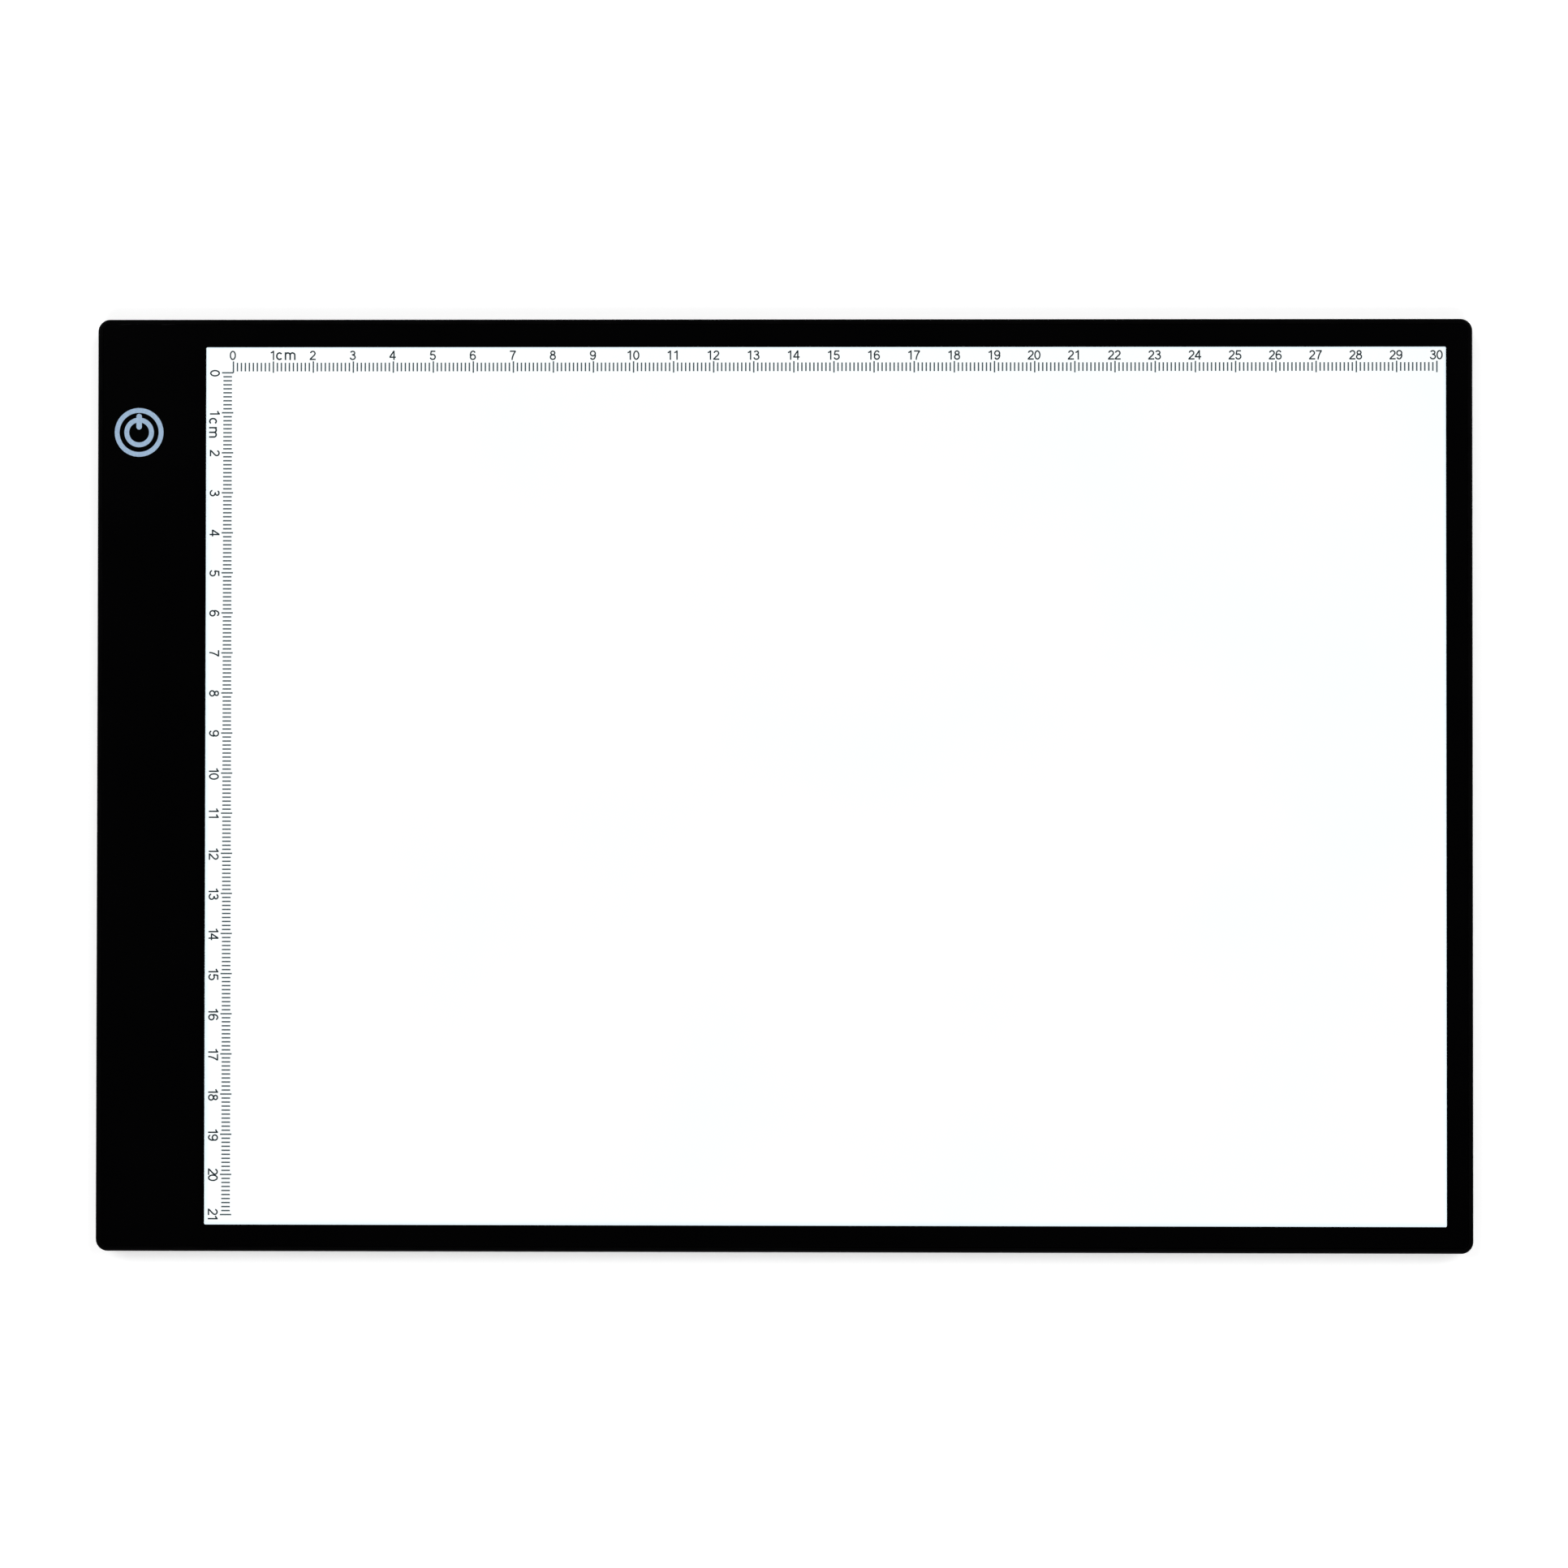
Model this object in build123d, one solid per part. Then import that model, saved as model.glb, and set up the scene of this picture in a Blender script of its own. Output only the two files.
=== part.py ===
from build123d import *

import math
import os

# A thin A4 light box for tracing: an edge-lit drawing surface in a black plastic frame.
#
# Millimetres. X runs along the long side, Y towards the side with the power inlet, Z up.
# The origin is the centre of the footprint, on the plane that the feet stand on.
# The wide band, on the -X side, holds the control board behind a touch key.

# ---------------------------------------------------------------- driving dimensions
LENGTH = 342.8
WIDTH = 232.5
CORNER_R = 3.0

# The border around the lit window, on each side.
BAND_LEFT = 27.15
BAND_RIGHT = 6.65
BAND_TOP = 7.0
BAND_BOTTOM = 6.7
WINDOW_R = 0.3

# The layers, from the table up.
FOOT_STAND = 0.8
COVER_T = 1.0
REFLECTOR_T = 0.15
GUIDE_T = 2.5
DIFFUSER_T = 0.15
PANEL_T = 1.1
OVERLAY_T = 0.1
TAPE_T = 0.1
SHIELD_T = 0.08

# The moulded frame.
WALL = 1.2
LEDGE = 3.0
RIB = 1.2
FIT = 0.15
TOP_EDGE_R = 0.5
BOTTOM_EDGE_R = 0.7
BAY_W = 15.0
BOARD_BAY_LENGTH = 70.0
EMPTY_BAYS = 5

# The notch in the rib that the wires pass through.
NOTCH_FROM_BAY = 8.0
NOTCH_W = 5.0
NOTCH_PLAY = 0.3
NOTCH_OVERRUN = 1.0

# The rear cover and the feet.
COVER_EDGE = 0.2
FOOT_R = 6.0
FOOT_SUNK = 0.4
FOOT_PLAY = 0.1
FOOT_INSET = 20.0
FOOT_EDGE_R = 0.35

# Light source.
STRIP_T = 1.0
STRIP_LENGTH = 220.0
STRIP_TAPE_SIDE = 0.15  # how far the tape stays from the strip's long edges
STRIP_TAPE_END = 1.0
STRIP_TAPE_GAP = 0.5  # and from the notch
LED_COUNT = 48
LED_PITCH = 4.5
LED_L, LED_H, LED_D = 3.0, 1.4, 0.8
LED_RIM_L, LED_RIM_H = 0.3, 0.2  # the walls round a lamp's cup
LED_CUP_DEPTH = 0.35
LED_GAP = 0.2
GUIDE_CLEAR = 0.3
GUIDE_CORNER = 0.5
CUSHION_T = 0.6
CUSHION_LENGTH = 36.0
CUSHION_PITCH = 75.0
SHIELD_OVERLAP = 3.0
SHIELD_GAP = 0.1

# Touch key: its centre from the left and the top edge, then its rings and stem.
KEY_FROM_LEFT = 10.35
KEY_FROM_TOP = 28.25
KEY_LINE = 1.2
KEY_OUTER_R = 6.1
KEY_INNER_R = 3.7
KEY_STEM_W = 1.35
KEY_STEM_BOTTOM = 0.7
KEY_STEM_TOP = 4.65

# Control board, with the bosses that it stands on.
BOARD_T = 0.8
BOARD_W = 13.4
BOARD_LENGTH = 46.5
BOARD_LIFT = 0.6
BOARD_CORNER_R = 0.6
BOSS_R = 1.9
REST_R = 1.6
BOSS_FROM_SIDE = 2.2
BOSS_FROM_TOP = 9.0
BOSS_FROM_BOTTOM = 2.4

# Board screws.
SCREW_R = 0.7
SCREW_HEAD_R = 1.3
SCREW_HEAD_H = 0.7
SCREW_HEAD_EDGE_R = 0.3
SCREW_HOLE_PLAY = 0.2  # in the board
SCREW_THREAD_PLAY = 0.02  # in the boss
SCREW_HOLE_FLOOR = 0.35
SCREW_TIP_GAP = 0.05
SCREW_SLOT = (1.5, 0.3, 0.7)
SCREW_SLOT_TURNS = (20, 110)

# Power inlet, a micro-B receptacle sunk into the board's end.
SOCKET_W = 7.5
SOCKET_H = 2.5
SOCKET_L = 5.4
SOCKET_CHAMFER = 1.0
SOCKET_SHEET = 0.25
SOCKET_SET_BACK = 0.3
SOCKET_BASE = 1.2
SOCKET_TAB_W = 0.9
SOCKET_TAB_REACH = 1.3
SOCKET_TAB_FRONT = 2.6  # from the mouth
SOCKET_TAB_REAR = 0.5  # from the back
SLOT_PLAY_W, SLOT_PLAY_H, SLOT_R = 0.6, 0.4, 0.6
TONGUE_W = 3.7
TONGUE_T = 0.55
TONGUE_RAISE = 0.15
TONGUE_SET_BACK = 0.9
CONTACT_COUNT = 5
CONTACT_W = 0.25
CONTACT_T = 0.12
CONTACT_PITCH = 0.65
CONTACT_SET_BACK = 1.1
CONTACT_DROP = 0.35  # behind the receptacle's back
CONTACT_TOE = 1.2

# Touch spring.
SPRING_R = 4.4
SPRING_WIRE_R = 0.17
SPRING_GAP = 0.02
SPRING_TURNS = 2.25

# Small parts on the board: length, width and height.
TOUCH_CHIP = (2.9, 1.6, 1.1)
TOUCH_CHIP_PITCH = 0.95
TRANSISTOR = (2.9, 1.3, 1.0)
TRANSISTOR_PITCH = 1.9
CHIP_STAND = 0.08
CHIP_EDGE = 0.12
LEG_W = 0.4
LEG_T = 0.15
LEG_HIGH = 0.55
LEG_ROOT = 0.1
LEG_KNEE = 0.25
LEG_REACH = 0.6
RESISTOR = (1.6, 0.8, 0.45)
RESISTORS_IN_ROW = 5
RESISTOR_PITCH = 1.9
LARGE_CAPACITOR = (2.0, 1.25, 0.9)
SMALL_CAPACITOR = (1.6, 0.8, 0.6)
END_SHARE = 0.18  # of a small part's length, for each metal end
END_PROUD = 0.03

# Wires from the board to the strip, and their solder.
WIRE_R = 0.4
WIRE_PITCH = 1.8
WIRE_LIFT = 0.1
CONDUCTOR_R = 0.18
BOARD_JOINT = (0.9, 0.35, 0.9)  # a cone of solder: base radius, top radius, height
STRIP_JOINT = (0.65, 0.45, 0.7)
STRIPPED = 1.4

PAST = 1.0  # how far a cutter runs past the face that it cuts

# ---------------------------------------------------------------- places worked out
LEFT, RIGHT = -LENGTH / 2, LENGTH / 2
BOTTOM, TOP = -WIDTH / 2, WIDTH / 2

Z_COVER = FOOT_STAND
Z_INSIDE = Z_COVER + COVER_T
Z_GUIDE = Z_INSIDE + REFLECTOR_T
Z_DIFFUSER = Z_GUIDE + GUIDE_T
Z_PANEL = Z_DIFFUSER + DIFFUSER_T
Z_OVERLAY = Z_PANEL + PANEL_T
Z_TOP = Z_OVERLAY + OVERLAY_T
Z_MIDDLE = Z_GUIDE + GUIDE_T / 2

WINDOW = (LEFT + BAND_LEFT, RIGHT - BAND_RIGHT, BOTTOM + BAND_BOTTOM, TOP - BAND_TOP)

BAY_LEFT = LEFT + WALL + LEDGE
BAY_RIGHT = BAY_LEFT + BAY_W
BAY_TOP = TOP - WALL
BAY_BOTTOM = BAY_TOP - BOARD_BAY_LENGTH
POCKET_LEFT = BAY_RIGHT + RIB
POCKET_RIGHT = RIGHT - WALL - LEDGE
POCKET_TOP = TOP - WALL - LEDGE
POCKET_BOTTOM = BOTTOM + WALL + LEDGE

STRIP_X = POCKET_LEFT + TAPE_T
LED_X = STRIP_X + STRIP_T
GUIDE_LEFT = LED_X + LED_D + LED_GAP
GUIDE_RIGHT = POCKET_RIGHT - CUSHION_T
GUIDE_TOP = POCKET_TOP - GUIDE_CLEAR
GUIDE_BOTTOM = POCKET_BOTTOM + GUIDE_CLEAR
SHIELD_RIGHT = GUIDE_LEFT + SHIELD_OVERLAP

KEY_X = LEFT + KEY_FROM_LEFT
KEY_Y = TOP - KEY_FROM_TOP

BOARD_LEFT = BAY_LEFT + (BAY_W - BOARD_W) / 2
BOARD_RIGHT = BOARD_LEFT + BOARD_W
BOARD_TOP = BAY_TOP - FIT * 2
BOARD_BOTTOM = BOARD_TOP - BOARD_LENGTH
Z_BOARD = Z_INSIDE + BOARD_LIFT
Z_PARTS = Z_BOARD + BOARD_T
SCREWS = [
    (BOARD_RIGHT - BOSS_FROM_SIDE, BOARD_TOP - BOSS_FROM_TOP),
    (BOARD_LEFT + BOSS_FROM_SIDE, BOARD_BOTTOM + BOSS_FROM_BOTTOM),
]
RESTS = [
    (BOARD_LEFT + BOSS_FROM_SIDE, BOARD_TOP - BOSS_FROM_TOP),
    (BOARD_RIGHT - BOSS_FROM_SIDE, BOARD_BOTTOM + BOSS_FROM_BOTTOM),
]

SOCKET_X = (BOARD_LEFT + BOARD_RIGHT) / 2
SOCKET_MOUTH = TOP - SOCKET_SET_BACK
SOCKET_BACK = SOCKET_MOUTH - SOCKET_L
TONGUE_Z = Z_MIDDLE + TONGUE_RAISE

NOTCH_Y = BAY_BOTTOM + NOTCH_FROM_BAY
Z_WIRE = Z_PARTS + WIRE_LIFT + WIRE_R

FEET = {
    "foot_front_left": (LEFT + FOOT_INSET, BOTTOM + FOOT_INSET),
    "foot_front_right": (RIGHT - FOOT_INSET, BOTTOM + FOOT_INSET),
    "foot_rear_left": (LEFT + FOOT_INSET, TOP - FOOT_INSET),
    "foot_rear_right": (RIGHT - FOOT_INSET, TOP - FOOT_INSET),
}


# ---------------------------------------------------------------- helpers
def slab(x0, x1, y0, y1, z0, z1):
    """A box between two corners."""
    return Pos((x0 + x1) / 2, (y0 + y1) / 2, (z0 + z1) / 2) * Box(x1 - x0, y1 - y0, z1 - z0)


def plate(inset, z0, z1):
    """A rounded plate with the outline of the light box, drawn in by inset."""
    outline = RectangleRounded(LENGTH - 2 * inset, WIDTH - 2 * inset, CORNER_R - inset)
    return Pos(0, 0, z0) * extrude(outline, z1 - z0)


def tube(x, y, z0, z1, radius):
    """An upright cylinder."""
    return Pos(x, y, (z0 + z1) / 2) * Cylinder(radius, z1 - z0)


def ring(outer, inner):
    """A flat ring about the touch key's centre."""
    return Pos(KEY_X, KEY_Y) * (Circle(outer) - Circle(inner))


def frame_pockets(z0, z1):
    """What is open in the frame: the light guide's pocket, the board's bay and the empty bays."""
    guide = slab(POCKET_LEFT, POCKET_RIGHT, POCKET_BOTTOM, POCKET_TOP, z0, z1)
    bay = slab(BAY_LEFT, BAY_RIGHT, BAY_BOTTOM, BAY_TOP, z0, z1)
    length = (BAY_BOTTOM - POCKET_BOTTOM - EMPTY_BAYS * RIB) / EMPTY_BAYS
    lows = [POCKET_BOTTOM + i * (length + RIB) for i in range(EMPTY_BAYS)]
    empty = [slab(BAY_LEFT, BAY_RIGHT, low, low + length, z0, z1) for low in lows]
    return [guide, bay, *empty]


# ---------------------------------------------------------------- casing
def inlet_slot():
    """The slot in the outer wall that a plug passes through."""
    outline = Plane.XZ * RectangleRounded(SOCKET_W + SLOT_PLAY_W, SOCKET_H + SLOT_PLAY_H, SLOT_R)
    return Pos(SOCKET_X, TOP + PAST, Z_MIDDLE) * extrude(outline, WALL + 2 * PAST)


def wire_notch():
    """The notch in the rib between the board's bay and the lamp strip."""
    low_y, high_y = NOTCH_Y - NOTCH_W / 2, NOTCH_Y + NOTCH_W / 2
    low_z = Z_WIRE - WIRE_R - NOTCH_PLAY
    return slab(BAY_RIGHT - NOTCH_OVERRUN, POCKET_LEFT + NOTCH_OVERRUN, low_y, high_y, low_z, Z_PANEL)


def middle_frame():
    """The moulded frame: an outer wall, a ledge half way up it, and ribs across the wide band."""
    body = plate(0, Z_COVER, Z_TOP)
    rims = body.edges().filter_by(Plane.XY).group_by(Axis.Z)
    body = fillet(rims[-1], TOP_EDGE_R)
    rims = body.edges().filter_by(Plane.XY).group_by(Axis.Z)
    body = fillet(rims[0], BOTTOM_EDGE_R)
    body -= plate(WALL, Z_PANEL - TAPE_T, Z_TOP + PAST)
    body -= plate(WALL, Z_COVER - PAST, Z_INSIDE + TAPE_T)
    body -= frame_pockets(Z_COVER, Z_TOP)
    body -= inlet_slot()
    return body - wire_notch()


def rear_cover():
    """The flat back, with a recess for each foot and low bosses under the control board."""
    body = plate(WALL + FIT, Z_COVER, Z_INSIDE)
    body = chamfer(body.edges().filter_by(Plane.XY).group_by(Axis.Z)[0], COVER_EDGE)
    for x, y in FEET.values():
        body -= tube(x, y, Z_COVER - PAST, Z_COVER + FOOT_SUNK, FOOT_R + FOOT_PLAY)
    for x, y in SCREWS:
        body += tube(x, y, Z_INSIDE, Z_BOARD, BOSS_R)
        body -= tube(x, y, Z_COVER + SCREW_HOLE_FLOOR, Z_BOARD, SCREW_R + SCREW_THREAD_PLAY)
    for x, y in RESTS:
        body += tube(x, y, Z_INSIDE, Z_BOARD, REST_R)
    return body


def foot(x, y):
    """A silicone foot with a rounded lower edge."""
    body = tube(x, y, 0, Z_COVER + FOOT_SUNK, FOOT_R)
    return fillet(body.edges().group_by(Axis.Z)[0], FOOT_EDGE_R)


def tape(z0):
    """A die-cut adhesive gasket with the outline of the frame's ledge and ribs."""
    body = plate(WALL + FIT, z0, z0 + TAPE_T)
    return body - frame_pockets(z0 - PAST, z0 + PAST)


# ---------------------------------------------------------------- front
def key_symbol(z0, z1):
    """The printed power mark: an outer ring, an inner ring and a stem across its top."""
    stem_middle = KEY_Y + (KEY_STEM_TOP + KEY_STEM_BOTTOM) / 2
    stem = SlotOverall(KEY_STEM_TOP - KEY_STEM_BOTTOM, KEY_STEM_W)
    inner = ring(KEY_INNER_R, KEY_INNER_R - KEY_LINE) + Pos(KEY_X, stem_middle) * Rot(0, 0, 90) * stem
    outer = ring(KEY_OUTER_R, KEY_OUTER_R - KEY_LINE)
    return [Pos(0, 0, z0) * extrude(shape, z1 - z0) for shape in (outer, inner)]


def window_block(z0, z1):
    """The lit window's outline as a block."""
    x0, x1, y0, y1 = WINDOW
    outline = Pos((x0 + x1) / 2, (y0 + y1) / 2, z0) * RectangleRounded(x1 - x0, y1 - y0, WINDOW_R)
    return extrude(outline, z1 - z0)


def front_panel():
    """The opal acrylic sheet. Its window stands level with the border film around it."""
    return plate(WALL + FIT, Z_PANEL, Z_OVERLAY) + window_block(Z_OVERLAY, Z_TOP)


def border_overlay():
    """The black film round the window, cut out where the touch key's mark shows."""
    body = plate(WALL + FIT, Z_OVERLAY, Z_TOP) - window_block(Z_OVERLAY - PAST, Z_TOP + PAST)
    return body - key_symbol(Z_OVERLAY - PAST, Z_TOP + PAST)


# ---------------------------------------------------------------- light source
def led_places():
    """The middle of each lamp along the strip."""
    return [(i - (LED_COUNT - 1) / 2) * LED_PITCH for i in range(LED_COUNT)]


def led_block(y, depth, rim_l, rim_h):
    """A block in a lamp's front, that deep, with its sides drawn in by the two rims."""
    half_l, half_h = LED_L / 2 - rim_l, LED_H / 2 - rim_h
    front = LED_X + LED_D
    return slab(front - depth, front, y - half_l, y + half_l, Z_MIDDLE - half_h, Z_MIDDLE + half_h)


def led_lens(y):
    """One lamp's phosphor, which fills its cup."""
    return led_block(y, LED_CUP_DEPTH, LED_RIM_L, LED_RIM_H)


def led_package(y):
    """One lamp's white body, with the cup that holds the phosphor."""
    return led_block(y, LED_D, 0, 0) - led_lens(y)


def led_strip_tape():
    """Adhesive behind the strip, left out where the wires come through the rib."""
    end = STRIP_LENGTH / 2 - STRIP_TAPE_END
    gap = NOTCH_W / 2 + STRIP_TAPE_GAP
    low_z, high_z = Z_GUIDE + STRIP_TAPE_SIDE, Z_DIFFUSER - STRIP_TAPE_SIDE
    spans = ((-end, NOTCH_Y - gap), (NOTCH_Y + gap, end))
    return [slab(POCKET_LEFT, STRIP_X, y0, y1, low_z, high_z) for y0, y1 in spans]


def led_strip_board():
    """The strip's board, which stands on edge."""
    half = STRIP_LENGTH / 2
    return slab(STRIP_X, LED_X, -half, half, Z_GUIDE, Z_DIFFUSER)


def led_shield_tape():
    """Opaque tape over the strip and the lit edge of the light guide."""
    return slab(STRIP_X, SHIELD_RIGHT, GUIDE_BOTTOM, GUIDE_TOP, Z_DIFFUSER, Z_DIFFUSER + SHIELD_T)


def light_guide_plate():
    """The clear plate that carries the light across the window."""
    body = slab(GUIDE_LEFT, GUIDE_RIGHT, GUIDE_BOTTOM, GUIDE_TOP, Z_GUIDE, Z_DIFFUSER)
    return chamfer(body.edges().filter_by(Axis.Z), GUIDE_CORNER)


def guide_cushions():
    """Foam blocks that press the light guide towards the strip."""
    half = CUSHION_LENGTH / 2
    middles = [i * CUSHION_PITCH for i in (-1, 0, 1)]
    return [slab(GUIDE_RIGHT, POCKET_RIGHT, y - half, y + half, Z_GUIDE, Z_DIFFUSER) for y in middles]


def diffuser_film():
    """White film over the light guide."""
    return slab(SHIELD_RIGHT + SHIELD_GAP, GUIDE_RIGHT, GUIDE_BOTTOM, GUIDE_TOP, Z_DIFFUSER, Z_PANEL)


def reflector_film():
    """White film under the light guide and the strip."""
    return slab(STRIP_X, GUIDE_RIGHT, GUIDE_BOTTOM, GUIDE_TOP, Z_INSIDE, Z_GUIDE)


# ---------------------------------------------------------------- control board
def control_board():
    """The circuit board, with a notch that the power inlet sinks into."""
    body = slab(BOARD_LEFT, BOARD_RIGHT, BOARD_BOTTOM, BOARD_TOP, Z_BOARD, Z_PARTS)
    body = fillet(body.edges().filter_by(Axis.Z), BOARD_CORNER_R)
    half, back = SOCKET_W / 2 + FIT, SOCKET_BACK - FIT
    body -= slab(SOCKET_X - half, SOCKET_X + half, back, TOP, Z_BOARD - PAST, Z_PARTS + PAST)
    for x, y in SCREWS:
        body -= tube(x, y, Z_BOARD - PAST, Z_PARTS + PAST, SCREW_R + SCREW_HOLE_PLAY)
    return body


def board_screw(x, y):
    """A pan-head screw with a crossed recess."""
    top = Z_PARTS + SCREW_HEAD_H
    head = tube(x, y, Z_PARTS, top, SCREW_HEAD_R)
    head = fillet(head.edges().group_by(Axis.Z)[-1], SCREW_HEAD_EDGE_R)
    body = head + tube(x, y, Z_COVER + SCREW_HOLE_FLOOR + SCREW_TIP_GAP, Z_PARTS, SCREW_R)
    for turn in SCREW_SLOT_TURNS:
        body -= Pos(x, y, top) * Rot(0, 0, turn) * Box(*SCREW_SLOT)
    return body


def socket_outline(inset):
    """The receptacle's outline, facing +Y: square above and chamfered below."""
    half, high, low = SOCKET_W / 2 - inset, SOCKET_H / 2 - inset, -SOCKET_H / 2 + inset
    step = SOCKET_CHAMFER - inset * (2 - math.sqrt(2))
    points = [
        (-half, high),
        (half, high),
        (half, low + step),
        (half - step, low),
        (-half + step, low),
        (-half, low + step),
    ]
    return Plane.XZ * make_face(Polyline(*points, close=True))


def socket_prism(inset, y_front, y_back):
    """The receptacle's outline drawn out from y_front back to y_back."""
    return Pos(SOCKET_X, y_front, Z_MIDDLE) * extrude(socket_outline(inset), y_front - y_back)


def usb_socket_shell():
    """The receptacle's folded steel shell, with two tabs on each side soldered to the board."""
    body = socket_prism(0, SOCKET_MOUTH, SOCKET_BACK)
    body -= socket_prism(SOCKET_SHEET, SOCKET_MOUTH + PAST, SOCKET_BACK - PAST)
    half = SOCKET_TAB_W / 2
    for side in (-1, 1):
        edge = SOCKET_X + side * SOCKET_W / 2
        x0, x1 = sorted((edge - side * SOCKET_SHEET / 2, edge + side * SOCKET_TAB_REACH))
        for y in (SOCKET_MOUTH - SOCKET_TAB_FRONT, SOCKET_BACK + SOCKET_TAB_REAR):
            body += slab(x0, x1, y - half, y + half, Z_PARTS, Z_PARTS + SOCKET_SHEET)
    return body


def contact_profile():
    """One contact from the side: along the tongue, through the base and down to the board."""
    tip = SOCKET_MOUTH - CONTACT_SET_BACK
    drop, toe = SOCKET_BACK - CONTACT_DROP, SOCKET_BACK - CONTACT_TOE
    high, low = TONGUE_Z, TONGUE_Z - CONTACT_T
    points = [
        (tip, high),
        (tip, low),
        (drop, low),
        (drop, Z_PARTS),
        (toe, Z_PARTS),
        (toe, Z_PARTS + CONTACT_T),
        (drop - CONTACT_T, Z_PARTS + CONTACT_T),
        (drop - CONTACT_T, high),
    ]
    return make_face(Polyline(*points, close=True))


def usb_socket_contacts():
    """The receptacle's contacts, side by side."""
    contact = extrude(Plane.YZ * contact_profile(), CONTACT_W)
    first = SOCKET_X - CONTACT_W / 2 - CONTACT_PITCH * (CONTACT_COUNT - 1) / 2
    return [Pos(first + i * CONTACT_PITCH, 0, 0) * contact for i in range(CONTACT_COUNT)]


def usb_socket_tongue():
    """The receptacle's plastic: a base that closes the shell's back, and the tongue."""
    base = socket_prism(SOCKET_SHEET, SOCKET_BACK + SOCKET_BASE, SOCKET_BACK)
    half, root, tip = TONGUE_W / 2, SOCKET_BACK + SOCKET_BASE / 2, SOCKET_MOUTH - TONGUE_SET_BACK
    tongue = slab(SOCKET_X - half, SOCKET_X + half, root, tip, TONGUE_Z, TONGUE_Z + TONGUE_T)
    return base + tongue - usb_socket_contacts()


def touch_spring():
    """The coil that joins the board's electrode to the front panel behind the key."""
    stand = SPRING_WIRE_R + SPRING_GAP
    height = Z_PANEL - Z_PARTS - 2 * stand
    path = Helix(pitch=height / SPRING_TURNS, height=height, radius=SPRING_R)
    section = Plane(origin=path @ 0, z_dir=path % 0) * Circle(SPRING_WIRE_R)
    return Pos(KEY_X, KEY_Y, Z_PARTS + stand) * sweep(section, path, is_frenet=True)


def chip_leg(x, edge, side):
    """One bent leg: out of the body's edge, down, and out along the board."""
    knee = edge + side * LEG_KNEE
    runs = [
        (edge - side * LEG_ROOT, knee, LEG_HIGH - LEG_T, LEG_HIGH),
        (knee - side * LEG_T, knee, 0, LEG_HIGH),
        (knee - side * LEG_T, edge + side * LEG_REACH, 0, LEG_T),
    ]
    pieces = []
    for near, far, low, high in runs:
        y0, y1 = sorted((near, far))
        pieces.append(slab(x - LEG_W / 2, x + LEG_W / 2, y0, y1, Z_PARTS + low, Z_PARTS + high))
    return pieces[0] + pieces[1:]


def chip(x, y, size, lower_legs, upper_legs, pitch):
    """A small moulded chip with bent legs along its two long sides."""
    length, width, height = size
    x0, x1 = x - length / 2, x + length / 2
    body = slab(x0, x1, y - width / 2, y + width / 2, Z_PARTS + CHIP_STAND, Z_PARTS + height)
    body = chamfer(body.edges().group_by(Axis.Z)[-1], CHIP_EDGE)
    for side, count in ((-1, lower_legs), (1, upper_legs)):
        for i in range(count):
            body += chip_leg(x + (i - (count - 1) / 2) * pitch, y + side * width / 2, side)
    return body


def passive(x, y, size, turned=False):
    """A chip resistor or capacitor, a little proud at its two metal ends."""
    length, width, height = size
    cap = length * END_SHARE
    core = Box(length, width - 2 * END_PROUD, height - 2 * END_PROUD)
    ends = [Pos(side * (length - cap) / 2, 0, 0) * Box(cap, width, height) for side in (-1, 1)]
    return Pos(x, y, Z_PARTS + height / 2) * Rot(0, 0, 90 if turned else 0) * (core + ends)


def chip_resistors():
    """A row of current-limiting resistors, and one at the touch chip."""
    x, y = BOARD_RIGHT - 1.4, BOARD_BOTTOM + 9.0
    row = [passive(x, y + i * RESISTOR_PITCH, RESISTOR) for i in range(RESISTORS_IN_ROW)]
    return [*row, passive(KEY_X + 1.6, KEY_Y - 6.6, RESISTOR, turned=True)]


def chip_capacitors():
    """Supply capacitors beside the inlet and one at the touch chip."""
    return [
        passive(BOARD_LEFT + 2.2, BOARD_TOP - 12.4, LARGE_CAPACITOR),
        passive(BOARD_LEFT + 5.4, BOARD_TOP - 12.4, LARGE_CAPACITOR),
        passive(BOARD_LEFT + 1.6, KEY_Y - 9.6, SMALL_CAPACITOR, turned=True),
    ]


# ---------------------------------------------------------------- wires
def board_joint_place(side):
    """Where one wire is soldered to the control board."""
    return BOARD_RIGHT - 3.6 + side * WIRE_PITCH / 2, BOARD_BOTTOM + 4.4


def wire_route(side):
    """One wire's points: off the board, down the bay, then through the rib to the strip."""
    x, joint_y = board_joint_place(side)
    y = NOTCH_Y + side * WIRE_PITCH / 2
    return [
        (x, joint_y - STRIPPED, Z_WIRE),
        (x, y + 5.2, Z_WIRE),
        (x - 0.5 - side * 0.2, y + 2.4, Z_WIRE),
        (x + 1.3, y, Z_WIRE),
        (STRIP_X - STRIP_JOINT[2], y, Z_WIRE),
    ]


def bend_radii(points):
    """Each corner's radius: 0.45 of its shorter run over the tangent of half the turn."""
    radii = []
    for before, here, after in zip(points, points[1:], points[2:]):
        a, b = Vector(here) - Vector(before), Vector(after) - Vector(here)
        shorter = min(a.length, b.length)
        radii.append(0.45 * shorter / math.tan(math.radians(a.get_angle(b)) / 2))
    return radii


def wire(side):
    """One insulated wire along its route."""
    points = wire_route(side)
    path = FilletPolyline(*points, radius=bend_radii(points))
    section = Plane(origin=path @ 0, z_dir=path % 0) * Circle(WIRE_R)
    return sweep(section, path)


def solder_cone(base, top, height):
    """A cone of solder that stands on the XY plane."""
    return Pos(0, 0, height / 2) * Cone(base, top, height)


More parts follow.
